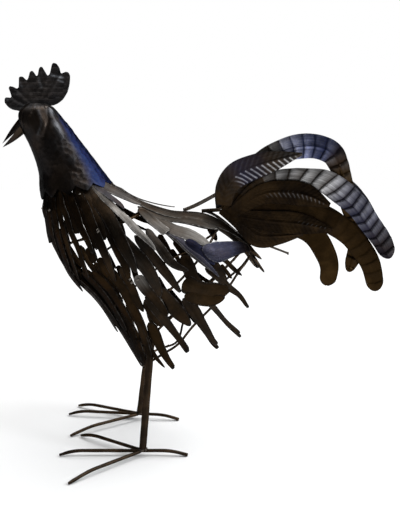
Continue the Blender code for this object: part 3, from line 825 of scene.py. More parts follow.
BREAST_HACKLES = [
    ([(6.85, 72), (8.22, 76), (9.09, 81), (9.69, 90)], 0.0120, dict(lift=(0.0002, 0.0012), tone=0.07)),
    ([(6.85, 81), (7.57, 83), (8.38, 84), (9.06, 89), (9.52, 94), (9.90, 99), (10.19, 104), (10.50, 111),
      (10.82, 118)], 0.0125, dict(lift=(0.0012, 0.0035), tone=0.08)),
    ([(6.85, 86), (7.86, 87), (8.72, 91), (9.23, 95), (9.62, 100), (9.85, 104)], 0.0100,
     dict(lift=(0.0002, 0.0012), tone=0.06, blunt=1.0)),
    ([(6.85, 97), (7.77, 97), (8.51, 98), (9.00, 101), (9.37, 103), (9.65, 106), (9.89, 109)], 0.0100,
     dict(lift=(0.0010, 0.0026), tone=0.06, blunt=0.8)),
    ([(6.85, 104), (7.60, 104), (8.30, 104), (8.94, 106), (9.12, 107)], 0.0120,
     dict(lift=(0.0002, 0.0006), tone=0.05, blunt=1.0)),
    ([(6.85, 112), (7.65, 112), (8.46, 111), (8.97, 114), (9.35, 116), (9.65, 119), (9.93, 124),
      (10.39, 134)], 0.0088, dict(lift=(0.0012, 0.0034), tone=0.06)),
    ([(6.85, 119), (8.06, 120), (8.92, 123), (9.57, 131), (10.05, 141), (10.40, 154)], 0.0080,
     dict(lift=(0.0003, 0.0032), tone=0.06)),
    ([(6.85, 130), (7.65, 129), (8.52, 131), (9.32, 138), (9.88, 148), (10.25, 162)], 0.0125,
     dict(lift=(0.0012, 0.0034), tone=0.05)),
    ([(6.85, 141), (7.60, 142), (8.30, 144), (9.10, 150), (9.80, 160)], 0.0130,
     dict(lift=(0.0004, 0.0026), tone=0.05)),
    ([(9.66, 109), (9.88, 112), (10.14, 117)], 0.0120,
     dict(lift=(0.0001, 0.0001), tone=0.03, root=1.0, blunt=1.0)),
    ([(10.08, 109), (10.38, 116), (10.66, 122)], 0.0100, dict(lift=(0.0001, 0.0001), tone=0.03, root=1.0)),
]
strip_pieces(HACKLES)
strip_rows("breast_hackles", BREAST_HACKLES, "breast_fringe")

# %% [markdown]
# The saddle and the flanks are the brightest sheets. Their high tone is partly brushed steel
# and partly a painted highlight on faces that turn up to the light, and their blue is a
# painted sheen. Two broad strips run along the back, and long ones run down each side with
# slits between them. Tone can be a number or a few stops along the strip, which is cheaper
# than a painted texture and stays sharp at any distance.

# %% Saddle and flanks
SADDLES = {
    "saddle_strip_{}": ([(8.29, 10), (9.42, 19), (10.06, 23), (10.61, 24), (11.15, 20), (11.70, 9),
                         (12.25, 0)], 0.0215,
                        dict(lift=(0.0016, 0.0030), tone=((0, 0.32), (0.5, 0.27), (0.75, 0.14), (1, 0.06)))),
}
FLANKS = {
    "flank_strip_{}_1": ([(9.90, 41), (10.26, 46), (10.64, 51), (11.02, 50), (11.34, 48), (11.62, 47)],
                         0.0178, dict(lift=(0.0014, 0.0030), tone=((0, 0.22), (0.25, 0.26), (0.50, 0.38),
                                                                   (0.66, 0.64), (0.9, 0.66)))),
    "flank_strip_{}_2": ([(10.20, 52), (10.68, 56), (11.14, 60), (11.51, 60), (12.38, 58)], 0.0075,
                         dict(lift=(0.0012, 0.0040), tone=((0, 0.45), (0.4, 0.45), (0.7, 0.30)), blue=0.35)),
    "flank_strip_{}_3": ([(10.08, 58), (10.54, 69), (11.02, 76), (11.36, 77), (11.66, 73)], 0.0120,
                         dict(lift=(0.0022, 0.0040), tone=((0, 0.20), (0.3, 0.27), (0.7, 0.22), (1, 0.14)))),
    "flank_strip_{}_4": ([(9.75, 77), (9.95, 80), (10.47, 88), (10.88, 92), (11.33, 96), (11.74, 100)],
                         0.0195, dict(lift=(0.0006, 0.0034), tone=0.12)),
}
# High tone stops here are partly a painted highlight too, and their blue is a painted sheen
FLANK_EXTRAS = [
    ([(9.26, 35), (9.60, 40), (10.04, 48), (10.58, 58)], 0.0150,
     dict(lift=(0.0022, 0.0052), tone=((0, 0.20), (0.5, 0.30), (0.75, 0.62), (1, 0.62)), blunt=1.0,
          cut=0.85)),
    ([(10.30, 53), (10.93, 60), (11.33, 62), (11.74, 61), (12.15, 59)], 0.0070,
     dict(lift=(0.0006, 0.0028), tone=0.40, blue=0.10)),
    ([(10.05, 70), (10.72, 81), (11.19, 85), (11.53, 86), (11.95, 87)], 0.0130,
     dict(lift=(0.0006, 0.0030), tone=0.15)),
    ([(11.00, 103), (11.38, 105), (11.76, 104), (12.25, 104)], 0.0150,
     dict(lift=(0.0018, 0.0036), tone=((0, 0.62), (0.2, 0.45), (0.4, 0.10), (1, 0.04)), root=1.0)),
    ([(9.12, 30), (9.88, 32), (10.44, 33.5), (10.94, 33), (11.38, 27)], 0.0158,
     dict(lift=(0.0010, 0.0024), tone=0.30)),
    ([(9.20, 76), (9.92, 87), (10.32, 95), (10.70, 103), (11.01, 111)], 0.0135,
     dict(lift=(0.0002, 0.0014), tone=0.07)),
    ([(10.60, 105), (10.87, 110), (11.26, 115), (11.49, 117), (11.79, 118)], 0.0130,
     dict(lift=(0.0002, 0.0012), tone=0.06)),
    ([(11.06, 57), (11.36, 56), (11.66, 55), (12.00, 55)], 0.0120,
     dict(lift=(0.0030, 0.0030), tone=0.12, blue=0.50)),
]
strip_pieces(SADDLES)
strip_pieces(FLANKS)
strip_rows("flank_extras", FLANK_EXTRAS)

# %% [markdown]
# The rump carries the broad plates, one of them with a painted blue sheen, a reflection, and
# strips that run out past the last hoop, most of them cut off square. Some stand on edge
# between the others. A roll about the strip's own line turns one up, and saves a second kind
# of strip.

# %% Rump
RUMPS = {
    "rump_strip_{}_1": ([(11.46, 54), (11.78, 46.5), (11.96, 36), (12.24, 21), (12.56, 8)], 0.0262,
                        dict(lift=(0.0050, 0.0054), tone=((0, 0.26), (0.6, 0.20), (1, 0.04)),
                             blue=((0, 0.42), (0.55, 0.36), (0.85, 0.1)), root=0.50, cut=0.20)),
    "rump_plate_{}": ([(11.80, 81), (12.30, 75), (12.66, 67), (13.05, 55)], 0.0240,
                      dict(lift=(0.0014, 0.0030), tone=0.06, warm=0.06, root=1.0, blunt=0.8)),
    "rump_strip_{}_2": ([(12.10, 79), (12.57, 75), (13.15, 72.5), (13.81, 70.5), (14.50, 66.5)], 0.0080,
                        dict(lift=(0.0004, 0.0016), tone=0.12, cut=0.60)),
}
RUMP_EXTRAS = [
    ([(11.30, 68), (11.62, 71), (11.96, 74), (12.50, 73), (12.97, 70)], 0.0170,
     dict(lift=(0.0002, 0.0010), tone=0.06, root=1.0)),
    ([(12.10, 86), (12.50, 78), (12.86, 71), (13.11, 62)], 0.0180,
     dict(lift=(0.0022, 0.0036), tone=0.05, warm=0.08)),
    ([(11.90, 62), (12.50, 57), (12.91, 55), (13.51, 50), (14.06, 49)], 0.0110,
     dict(lift=(0.0004, 0.0018), tone=0.10, cut=0.40)),
    ([(12.15, 88), (12.75, 86), (13.12, 86), (13.51, 86), (13.86, 86), (14.10, 85)], 0.0160,
     dict(lift=(0.0004, 0.0018), tone=0.10, cut=0.28)),
    ([(11.55, 98), (11.95, 98), (12.45, 96), (12.94, 94)], 0.0200, dict(lift=(0.0004, 0.0014), tone=0.08)),
    ([(11.55, 110), (11.86, 109), (12.29, 108), (12.71, 107), (13.15, 106), (13.50, 105.5)], 0.0130,
     dict(lift=(0.0006, 0.0018), tone=0.08, cut=0.50)),
    ([(11.60, 112), (12.02, 113), (12.40, 113)], 0.0130, dict(lift=(0.0002, 0.0004), tone=0.06, blunt=1.0)),
    ([(11.50, 56), (11.90, 54), (12.25, 54), (12.73, 53)], 0.0110,
     dict(lift=(0.0002, 0.0008), tone=0.07, blunt=0.8)),
    ([(11.80, 47), (12.22, 44), (12.54, 42), (13.04, 38)], 0.0070,
     dict(lift=(0.0002, 0.0008), tone=0.07, blunt=0.8)),
    ([(10.90, 23), (11.25, 21), (11.58, 18), (12.08, 13), (12.92, -4)], 0.0150,
     dict(lift=(0.0006, 0.0018), tone=0.15, blunt=0.8)),
    ([(10.80, -4), (11.19, -4), (11.50, -4), (11.80, -3), (12.15, -1)], 0.0120,
     dict(lift=(0.0030, 0.0050), tone=0.10)),
    ([(11.27, 58), (11.42, 56), (11.62, 53)], 0.0070,
     dict(lift=(0.0001, 0.0001), tone=0.05, blue=0.4, root=1.0)),
    ([(12.16, 50), (12.50, 49), (12.84, 48)], 0.0060, dict(lift=(0.0001, 0.0001), tone=0.05, root=1.0)),
    ([(11.80, 2), (12.30, 0), (12.80, -1), (13.30, -1)], 0.0075,
     dict(lift=(0.0008, 0.0120), tone=0.10, roll=60.0)),
    ([(11.86, 14), (12.17, 13), (12.92, 1), (13.56, 0)], 0.0110,
     dict(lift=(0.0004, 0.0030), tone=0.12, blunt=1.0, roll=50.0)),
    ([(12.12, 8), (12.60, 2), (13.29, -1), (13.84, -2)], 0.0060,
     dict(lift=(0.0020, 0.0070), tone=0.12, roll=60.0)),
]
strip_pieces(RUMPS)
strip_rows("rump_extras", RUMP_EXTRAS)

# %% [markdown]
# Under the body the strips are dark and dense. Those of the belly run back between the legs,
# and those of the thighs hang past the leg hoop. They are rows of one piece each, because
# nobody would take a single one off.

# %% Belly and thighs
BELLY = [
    ([(10.30, 112), (11.00, 119), (11.60, 124), (12.10, 127), (12.45, 129)], 0.0145,
     dict(lift=(0.0003, 0.0030), tone=0.03)),
    ([(10.30, 126), (10.90, 130), (11.50, 133), (11.95, 134)], 0.0140,
     dict(lift=(0.0012, 0.0034), tone=0.03)),
    ([(10.20, 138), (10.70, 141), (11.40, 144), (11.95, 146)], 0.0140,
     dict(lift=(0.0003, 0.0026), tone=0.05)),
]
THIGH = [
    ([(12.10, 120), (12.33, 121), (12.75, 123), (13.23, 124), (13.60, 123)], 0.0170,
     dict(lift=(0.0004, 0.0016), tone=0.05, warm=0.10, cut=0.22)),
    ([(11.40, 127), (12.04, 129), (12.37, 130), (12.63, 132), (12.87, 132), (13.14, 131), (13.40, 129)],
     0.0095, dict(lift=(0.0012, 0.0050), tone=0.06)),
    ([(11.45, 136), (11.70, 137), (11.96, 140), (12.29, 146), (12.65, 152), (12.99, 158)], 0.0110,
     dict(lift=(0.0004, 0.0020), tone=0.06)),
    ([(11.90, 128), (12.29, 131), (12.67, 134), (13.09, 138)], 0.0095,
     dict(lift=(0.0020, 0.0070), tone=0.06, blunt=1.0)),
    ([(12.30, 141), (12.60, 143), (13.00, 147)], 0.0110, dict(lift=(0.0020, 0.0050), tone=0.05, root=1.0)),
]
strip_rows("belly_strips", BELLY, "belly_fringe")
strip_rows("thigh_strips", THIGH, "thigh_fringe")

# %% [markdown]
# Down the front the strips are regular, like tiles: rows of short ones, each row covering the
# roots of the next. A row needs only its angles, where it starts and ends, and one width.

# %% Rows down the front
FRONT_ROWS = [
    ((152, 163, 174), (6.95, 8.10), 0.0145, dict(lift=(0.0022, 0.0020), tone=0.05, blunt=1.0)),
    ((157, 168, 179), (7.75, 9.08), 0.0145, dict(lift=(0.0000, 0.0034), tone=0.05, blunt=1.0)),
    ((154, 164, 175), (8.70, 10.20), 0.0155, dict(lift=(0.0001, 0.0014), tone=0.05)),
    ((160, 173), (9.50, 10.60), 0.0160, dict(lift=(0.0002, 0.0078), tone=0.05, blunt=0.8)),
    ((155, 165, 175), (10.20, 11.90), 0.0160, dict(lift=(0.0026, 0.0034), tone=0.05)),
    ((157, 167, 176), (11.50, 13.05), 0.0150, dict(lift=(0.0000, 0.0012), tone=0.05, wave=0.3)),
]
bench = Bench()
for angles, (start, end), width, looks in FRONT_ROWS:
    for angle in angles:
        for side in (angle, 360 - angle):
            path = [(start + (end - start) * share, side) for share in (0, 0.35, 0.7, 1)]
            strip(bench, path, width, **looks)
bench.piece("front_rows", STRIP_METAL, "strip_metal")

# %% [markdown]
# Through the slits one sees the inner face of the far side. Its gaps don't line up with the
# near ones everywhere, and these plain strips close it where the picture shows metal. They
# are narrow and lie flat on the hoops of the right side alone.

# %% Inner strips of the right side
INNER = [
    ([(8.20, 74), (8.55, 75), (9.10, 78), (9.72, 86)], 0.0160),
    ([(8.60, 65), (8.87, 64), (9.27, 63), (9.67, 63), (10.07, 65)], 0.0095),
    ([(11.08, 73), (11.36, 75), (11.64, 77), (11.94, 80), (12.24, 83)], 0.0120),
    ([(10.50, 66), (10.89, 69), (11.24, 70), (11.59, 69)], 0.0080),
    ([(11.10, 31), (11.32, 35), (11.51, 39), (11.79, 44)], 0.0130),
    ([(9.60, 136), (10.01, 141), (10.32, 145), (10.61, 148), (10.92, 148), (11.19, 147), (11.51, 147)],
     0.0100),
    ([(10.66, 76), (10.86, 80), (11.07, 83), (11.27, 85), (11.50, 86)], 0.0100),
    ([(11.95, 126), (12.29, 131), (12.70, 134)], 0.0085),
    ([(9.55, 74), (10.02, 75), (10.40, 76)], 0.0045),
    ([(12.80, 98), (13.18, 99), (13.60, 99)], 0.0070),
    ([(10.84, 114), (11.07, 118), (11.31, 122), (11.50, 125)], 0.0090),
    ([(12.05, 105), (12.46, 103), (12.84, 100)], 0.0075),
    ([(10.12, 119), (10.47, 125), (10.74, 129)], 0.0075),
    ([(12.20, 79), (12.59, 75), (12.95, 70)], 0.0065),
    ([(11.60, 106), (11.96, 107), (12.25, 106)], 0.0060),
    ([(9.40, 79), (9.83, 88), (10.15, 95)], 0.0050),
    ([(11.25, 82), (11.53, 83), (11.75, 85)], 0.0070),
    ([(9.75, 124), (10.07, 130), (10.30, 135)], 0.0045),
    ([(8.50, 138), (9.00, 142), (9.45, 146)], 0.0045),
    ([(10.26, 138), (10.62, 143), (10.94, 144), (11.30, 145)], 0.0090),
    ([(10.70, 125), (10.84, 128), (11.09, 132)], 0.0080),
    ([(8.86, 131), (9.06, 131), (9.20, 130)], 0.0070),
    ([(10.14, 122), (10.14, 114), (10.12, 106)], 0.0034),
    ([(9.38, 105), (9.62, 108), (9.84, 110)], 0.0060),
]
bench = Bench()
for path, width in INNER:
    strip(bench, [(u, 360 - angle) for u, angle in path], width, lift=(0.0002, 0.0006), tone=0.04, root=1.0)
bench.piece("inner_strips", STRIP_METAL, "strip_metal")

# %% [markdown]
# One narrow strip comes out from under the nape and rises off the back, so that its tip
# stands clear against the sky. It shows as a thin line and could be a bar, but it is sheet
# like the others, and the same helper makes it. Two more lie beside it, low, and close the
# gap behind the neck.

# %% Strips of the back and the nape
NAPE_ANGLES = (17, 343)
bench = Bench()
strip(bench, [(6.80, 0), (8.0, 0), (9.2, 0), (10.05, 0)], 0.0110, lift=(0.0003, 0.0052), tone=0.20)
bench.piece("back_strip_raised_sheet", STRIP_METAL, "strip_metal", "back_strip_raised")
bench = Bench()
for angle in NAPE_ANGLES:
    strip(bench, [(6.80, angle), (7.70, angle), (8.60, angle)], 0.0130, lift=(0.0006, 0.0014), tone=0.24)
bench.piece("nape_strips", STRIP_METAL, "strip_metal")

# %% [markdown]
# The head and neck are one hollow, hammered from a single sheet. Dents could be sculpted by
# hand or come from a bump map, but a bump map would leave the outline smooth. Here they are
# real: a loose lattice of points fills space, and the sheet is pushed in round each of them,
# which leaves shallow dents side by side with soft ridges between.

# %% Hammer dents
DENT_PITCH = 0.0064
DENT_DEPTH = 0.00058
DENT_REACH = 0.72
LATTICE_SIZE = 4096
LATTICE_PRIMES = (73856093, 19349663, 83492791)


def bump_profile(distance, width):
    return np.exp(-(distance / width) ** 2)


def hammer_marks(points, pitch, seed):
    """Depth from 0 to 1 of round dents, one round each point of a loose seeded lattice."""
    offsets = np.random.default_rng(seed).uniform(0.1, 0.9, (LATTICE_SIZE, 3))
    cell = np.floor(points / pitch).astype(int)
    nearest = np.full(points.shape[:-1], 1e9)
    for step in np.ndindex(3, 3, 3):
        key = cell + np.array(step) - 1
        a, b, c = (key[..., k] * prime for k, prime in enumerate(LATTICE_PRIMES))
        centre = (key + offsets[(a ^ b ^ c) % LATTICE_SIZE]) * pitch
        nearest = np.minimum(nearest, np.linalg.norm(points - centre, axis=-1))
    return np.clip(1 - (nearest / (DENT_REACH * pitch)) ** 2, 0.0, 1.0)


print("hammer dents", round(DENT_PITCH * 1000, 1), "mm apart and", round(DENT_DEPTH * 1000, 2), "mm deep")

# %% [markdown]
# The face is smoother than the neck and has a cheek ridge, a groove behind it, a sunken eye
# and the seam where the beak is welded on. Each is a line drawn on the body form, and the
# sheet rises or sinks near it. That keeps a feature to one row of a table: its line, how far
# the sheet stands out, and how wide the feature is.

# %% Lines of the face
CHEEK_RIDGE = [(1.36, 76), (2.17, 80), (2.85, 89), (3.42, 106)]
CHEEK_GROOVE = [(1.00, 44), (1.60, 54), (2.30, 64), (2.96, 77), (3.64, 97)]
NAPE_RIDGE = [(1.20, 35), (1.70, 42), (2.25, 47), (3.12, 53), (3.60, 56)]
BEAK_SEAM = [(1.20, 126), (2.00, 136), (2.80, 145)]
EYE = [(1.55, 102), (1.55, 102)]
FACE_LINES = [
    (CHEEK_RIDGE, 0.0009, 0.0045),
    (CHEEK_GROOVE, -0.0015, 0.0026),
    (NAPE_RIDGE, 0.0015, 0.0044),
    (BEAK_SEAM, -0.0007, 0.0016),
    (EYE, -0.0010, 0.0070),
    (EYE, 0.0014, 0.0028),
]
NECK_SEED = 3


def line_distance(points, path, side):
    """How far points are from a line drawn on the form, given by rings and angles."""
    route = spline(np.array(path, float), np.linspace(0, len(path) - 1, 24))
    angles = route[:, 1] if side == "left" else 360 - route[:, 1]
    nearest = np.full(points.shape[:-1], 1e9)
    for point in form(route[:, 0], angles):
        nearest = np.minimum(nearest, np.linalg.norm(points - point, axis=-1))
    return nearest


def from_back(angle):
    """Degrees from the middle of the back, to either side."""
    return np.minimum(angle, 360 - angle)


def neck_relief(points, u, angle):
    """How far the sheet stands out of the form, from its hammer marks and the face."""
    face = (1 - smooth_step(u, 3.0, 4.4)) * smooth_step(-np.cos(np.radians(angle)), -0.85, -0.2)
    depth = DENT_DEPTH * (1 - 0.85 * face) * smooth_step(u, 0.2, 1.0)
    depth = depth * (1 - 0.6 * smooth_step(from_back(angle), 70, 110))
    relief = -depth * hammer_marks(points, DENT_PITCH, NECK_SEED)
    for side in ("left", "right"):
        for path, height, width in FACE_LINES:
            relief += height * bump_profile(line_distance(points, path, side), width)
    return relief


print("lines of the face:", len(FACE_LINES), "on each side")

# %% [markdown]
# The shell is open below, and its rim is cut into pointed lobes that stand off the shoulder
# a little in front and lie close behind. Solidify could give the sheet its thickness. Here a
# grid over the body form runs from the crown to that rim, over a rounded lip and back up
# inside, and its marks can run over the lip too.

# %% Shell of the head and neck
NECK_ROWS = 170
NECK_COLUMNS = 216
RIM_LOBES = 13
RIM_RING = 6.92
LOBE_DEPTH = 0.42
DOME_SHARES = (0.04, 0.25, 0.5, 0.75)
DOME_RISE = 0.0012
INNER_DEPTH = 0.9


def neck_grid():
    """Ring and angle of every point of the outer face, down to the wavy rim."""
    angle = np.arange(NECK_COLUMNS) * 360.0 / NECK_COLUMNS
    lobe = 1 - np.abs(1 - 2 * (RIM_LOBES * angle / 360.0 % 1.0))
    rim = RIM_RING + LOBE_DEPTH * lobe ** 0.8 * (0.62 + 0.38 * smooth_step(from_back(angle), 14, 34))
    v = np.linspace(0.0, 1.0, NECK_ROWS)[:, None]
    return v, v * rim, np.broadcast_to(angle, (NECK_ROWS, NECK_COLUMNS))


def neck_shell(v, u, angle):
    """Rings from the crown over the outer face, round the lip and up the inner face."""
    surface = form(u, angle)
    normal = outward(np.maximum(u, 0.05), angle)
    skirt = 0.0024 * smooth_step(v, 0.80, 1.0) * smooth_step(-np.cos(np.radians(angle)), -0.95, -0.2)
    skirt = skirt - 0.0014 * smooth_step(v, 0.84, 1.0) * (1 - smooth_step(from_back(angle), 10, 40))
    surface = surface + normal * (neck_relief(surface, u, angle) + skirt)[..., None]
    crown = surface[0].mean(axis=0)
    dome = [crown + (surface[0] - crown) * share + (0, 0, DOME_RISE * (1 - share ** 2))
            for share in DOME_SHARES]
    inner = surface - normal * SHELL_SHEET * INNER_DEPTH
    inner_dome = [ring - (0, 0, SHELL_SHEET * INNER_DEPTH) for ring in dome[::-1]]
    lip = (surface[-1] + inner[-1]) / 2 + (surface[-1] - surface[-2]) * 0.15
    return np.concatenate((dome, surface, lip[None], inner[::-1], inner_dome))


v, u, angle = neck_grid()
rings = neck_shell(v, u, angle)
print("neck shell:", len(rings), "rings of", NECK_COLUMNS, "points")

# %% [markdown]
# The crown is lighter and warmer, a painted highlight where light from above falls, the nape
# has a painted blue sheen, a reflection, and the ridges and the rims of the dents beside the
# nape carry painted highlights. Where these places lie is given by ring and angle, like the
# shape. A painted picture would need an unwrapping of the shell first.

# %% Marks of the neck
# How far the painted blue sheen reaches from the back: ring and degrees
NAPE_SHEEN_REACH = [(1.2, 10), (2.4, 32), (4.0, 44), (5.7, 51), (7.0, 60)]
RING_GRAIN = 0.02
DEGREE_GRAIN = 0.0007
NECK_NUMBER = 3.0


def neck_tone_and_highlights(rings, u, angle):
    """How light the metal is: painted highlights on the crown, the ridges and the rims of the dents beside
    the nape.
    """
    back = from_back(angle)
    face = (1 - smooth_step(u, 3.0, 4.4)) * smooth_step(back, 62, 80)
    tone = 0.06 + 0.06 * face
    # Painted highlight on the crown, where light from above falls
    tone += 0.58 * (1 - smooth_step(u, 0.40, 1.45)) * (1 - 0.45 * smooth_step(back, 110, 150))
    patch = 0.70 + 0.30 * np.cos((u - 1.35) * 4.0)
    # Painted highlights along the nape ridge and the cheek ridge
    for side in ("left", "right"):
        tone += 0.66 * patch * bump_profile(line_distance(rings, NAPE_RIDGE, side), 0.0048)
        tone += 0.36 * bump_profile(line_distance(rings, CHEEK_RIDGE, side), 0.0017)
    # Painted highlights on the rims between the dents beside the nape
    between = 1 - hammer_marks(form(u, angle), DENT_PITCH, NECK_SEED)
    beside = 0.15 * between * smooth_step(back, 25, 45) * (1 - smooth_step(back, 70, 100))
    return tone + beside * smooth_step(u, 3.2, 4.2)


def neck_marks(rings, u, angle):
    """The marks of all rings; the painted bluish sheen reaches from the back as far as the table above says
    by ring.
    """
    back = from_back(angle)
    reach = np.interp(u, *np.array(NAPE_SHEEN_REACH, float).T)
    blue = (1 - smooth_step(back, reach - 14, reach + 8)) * smooth_step(u, 0.8, 2.6)
    # The sheen is weaker along the middle of the back, which paints a darker outline there
    blue *= 0.4 + 0.6 * smooth_step(back, 0.0, 8.0)
    face = 0.12 * (1 - smooth_step(u, 2.4, 3.6)) * smooth_step(back, 62, 80)
    # The crown's warmth tints its painted highlight
    warm = np.maximum(1 - smooth_step(u, 0.50, 1.50), face)
    edge = smooth_step(u - RIM_RING, 0.0, LOBE_DEPTH) * 0.8
    return dict(tone=neck_tone_and_highlights(rings, u, angle), blue=blue, warm=warm, edge=edge)


cap = np.zeros((len(DOME_SHARES), NECK_COLUMNS))
u = np.concatenate((cap, u, u[-1:], u[::-1], cap))
angle = np.broadcast_to(angle[0], u.shape)
grain = np.stack((u * RING_GRAIN, angle * DEGREE_GRAIN, np.full(u.shape, NECK_NUMBER)), -1)
bench = Bench()
bench.loft(rings, grain, **neck_marks(rings, u, angle))
bench.piece("neck_shell_hammered", NECK_METAL, "neck_metal", "neck_shell", sharp=50.0)

# %% [markdown]
# The comb is one flat plate with seven points, cut out and then hammered. A plate made of
# hand-placed faces would dent badly, because its faces are long and thin. Here a curve gives
# the outline and a voxel remesh turns the filled curve into an even net of small faces, and
# that net can be dented.

# %% Plate of the comb
COMB_EDGE = [
    (-0.2335, 0.4385), (-0.2410, 0.4400), (-0.2460, 0.4430), (-0.2505, 0.4485), (-0.2505, 0.4535),
    (-0.2485, 0.4555), (-0.2415, 0.4555),
    (-0.2445, 0.4665), (-0.2430, 0.4695), (-0.2385, 0.4685), (-0.2345, 0.4665), (-0.2320, 0.4680),
    (-0.2310, 0.4800), (-0.2285, 0.4815), (-0.2260, 0.4810), (-0.2215, 0.4770), (-0.2195, 0.4790),
    (-0.2170, 0.4870), (-0.2135, 0.4885), (-0.2080, 0.4815),
    (-0.2055, 0.4910), (-0.2035, 0.4935), (-0.2010, 0.4930), (-0.1950, 0.4830), (-0.1920, 0.4850),
    (-0.1890, 0.4960), (-0.1870, 0.4985), (-0.1830, 0.4975), (-0.1795, 0.4925), (-0.1775, 0.4855),
    (-0.1715, 0.4875), (-0.1680, 0.4865), (-0.1660, 0.4820), (-0.1670, 0.4720), (-0.1700, 0.4620),
    (-0.1760, 0.4530), (-0.1825, 0.4480), (-0.1885, 0.4455),
    (-0.1945, 0.4450), (-0.1990, 0.4465), (-0.2220, 0.4465), (-0.2310, 0.4375),
]
COMB_SHEET = 0.0020
COMB_VOXEL = 0.0007
POINTS_PER_CORNER = 8
ROUND_SHARE = 0.55
STRAIGHT_SHARE = 0.45


def straight_outline(outline, count):
    """Points spread evenly along the straight lines between the outline's corners."""
    t = np.linspace(0, len(outline), count, endpoint=False)
    i = t.astype(int)
    f = (t - i)[:, None]
    return outline[i] * (1 - f) + np.roll(outline, -1, axis=0)[i] * f


def comb_outline():
    """The cut edge, between a smooth curve through the corners and straight lines."""
    outline = np.array(COMB_EDGE)
    count = len(outline)
    wrapped = np.concatenate((outline[-2:], outline, outline[:2]))
    places = np.linspace(2, 2 + count, count * POINTS_PER_CORNER, endpoint=False)
    straight = straight_outline(outline, count * POINTS_PER_CORNER)
    return spline(wrapped, places) * ROUND_SHARE + straight * STRAIGHT_SHARE


def bake(name, data, **remesh):
    """The mesh of some data, through a Remesh modifier if settings for one are given."""
    holder = bpy.data.objects.new(name, data)
    bpy.context.scene.collection.objects.link(holder)
    if remesh:
        modifier = holder.modifiers.new("even net", "REMESH")
        for key, value in remesh.items():
            setattr(modifier, key, value)
    depsgraph = bpy.context.evaluated_depsgraph_get()
    mesh = bpy.data.meshes.new_from_object(holder.evaluated_get(depsgraph))
    bpy.data.objects.remove(holder)
    return mesh


path = comb_outline()
curve = bpy.data.curves.new("comb outline", "CURVE")
curve.dimensions = "2D"
curve.fill_mode = "BOTH"
curve.extrude = COMB_SHEET / 2
line = curve.splines.new("POLY")
line.points.add(len(path) - 1)
for target, (x, z) in zip(line.points, path):
    target.co = (x, z, 0.0, 1.0)
line.use_cyclic_u = True
blank = bake("comb outline", curve)
mesh = bake("comb blank", blank, mode="VOXEL", voxel_size=COMB_VOXEL)
print("comb:", len(mesh.vertices), "points in an even net")

# %% [markdown]
# The blows left dents in the plate, soft grooves run down it from the notches between the
# points, and a few places carry painted highlights. A groove or a painted highlight is again
# a line with a width, this time a straight one on the flat plate.

# %% Dents, grooves and marks of the comb
NOTCHES = [(-0.2415, 0.4555), (-0.2345, 0.4665), (-0.2215, 0.4770), (-0.2080, 0.4815), (-0.1950, 0.4830),
           (-0.1775, 0.4855)]
COMB_ROOT = (-0.2080, 0.4380)
GROOVE_REACH = 0.62
GROOVE_WIDTH = 0.0022
COMB_DENT_PITCH = 0.0065
COMB_DENTS = 0.00042
COMB_GROOVES = 0.0007
COMB_WAVE = 0.0010
COMB_SEED = 11
COMB_TONE = 0.20
COMB_EDGE_WIDTH = 0.0022
COMB_NUMBER = 5.0
# Painted highlights: from (x, z) to (x, z), how wide and how bright
COMB_GLINTS = [((-0.1900, 0.4835), (-0.1760, 0.4800), 0.0016, 0.65),
               ((-0.1810, 0.4770), (-0.1750, 0.4745), 0.0012, 0.50),
               ((-0.2060, 0.4790), (-0.2030, 0.4680), 0.0020, 0.22),
               ((-0.2300, 0.4740), (-0.2275, 0.4680), 0.0014, 0.22),
               ((-0.2480, 0.4540), (-0.2465, 0.4525), 0.0014, 0.30)]


def from_line(places, start, reach):
    """How far places are from a straight line, and at which share of it each is nearest."""
    share = np.clip(((places - start) @ reach) / (reach @ reach), 0, 1)
    return np.linalg.norm(places - start - share[:, None] * reach, axis=1), share


flat = np.zeros(len(mesh.vertices) * 3)
mesh.vertices.foreach_get("co", flat)
flat = flat.reshape(-1, 3)
points = np.column_stack((flat[:, 0], -flat[:, 2], flat[:, 1]))
spot = points * (1, 0, 1)
places = spot[:, (0, 2)]
groove = np.zeros(len(points))
for notch in np.array(NOTCHES):
    gap, share = from_line(places, notch, (np.array(COMB_ROOT) - notch) * GROOVE_REACH)
    groove = np.maximum(groove, bump_profile(gap, GROOVE_WIDTH) * (1 - 0.7 * share))
dents = hammer_marks(spot + (0, 0.002, 0), COMB_DENT_PITCH, COMB_SEED)
points[:, 1] += COMB_DENTS * dents - COMB_GROOVES * groove + COMB_WAVE * np.sin(points[:, 0] * 60)
tone = np.full(len(points), COMB_TONE)
for start, end, width, highlight_strength in COMB_GLINTS:
    gap, _ = from_line(places, np.array(start), np.array(end) - start)
    tone += highlight_strength * bump_profile(gap, width)
to_edge = np.full(len(points), 1e9)
for x, z in straight_outline(np.array(COMB_EDGE), 240):
    to_edge = np.minimum(to_edge, np.hypot(points[:, 0] - x, points[:, 2] - z))
edge = 1 - smooth_step(to_edge, 0.0, COMB_EDGE_WIDTH)
marks = dict(tone=tone, blue=0 * edge, warm=0 * edge, edge=edge)
grain = np.column_stack((points[:, 0], points[:, 2], np.full(len(points), COMB_NUMBER)))
mesh.vertices.foreach_set("co", (points + (0, MIDDLE_Y, 0)).ravel())
mesh.materials.clear()
finish_piece("comb_hammered", mesh, grain, marks, NECK_METAL, ["comb"], 50.0)

# %% [markdown]
# The beak is two small folded sheets, the upper one longer and bent down to its point. Cones
# would lack the fold along the ridge. Each is a fan of lines from the edge at the face to
# the tip instead, and the under side closes it.

# %% Beak
BEAK_ROWS = 22
BEAK_COLUMNS = 15
BEAK_BULGE = 0.17
BEAK_NUMBER = 8.0


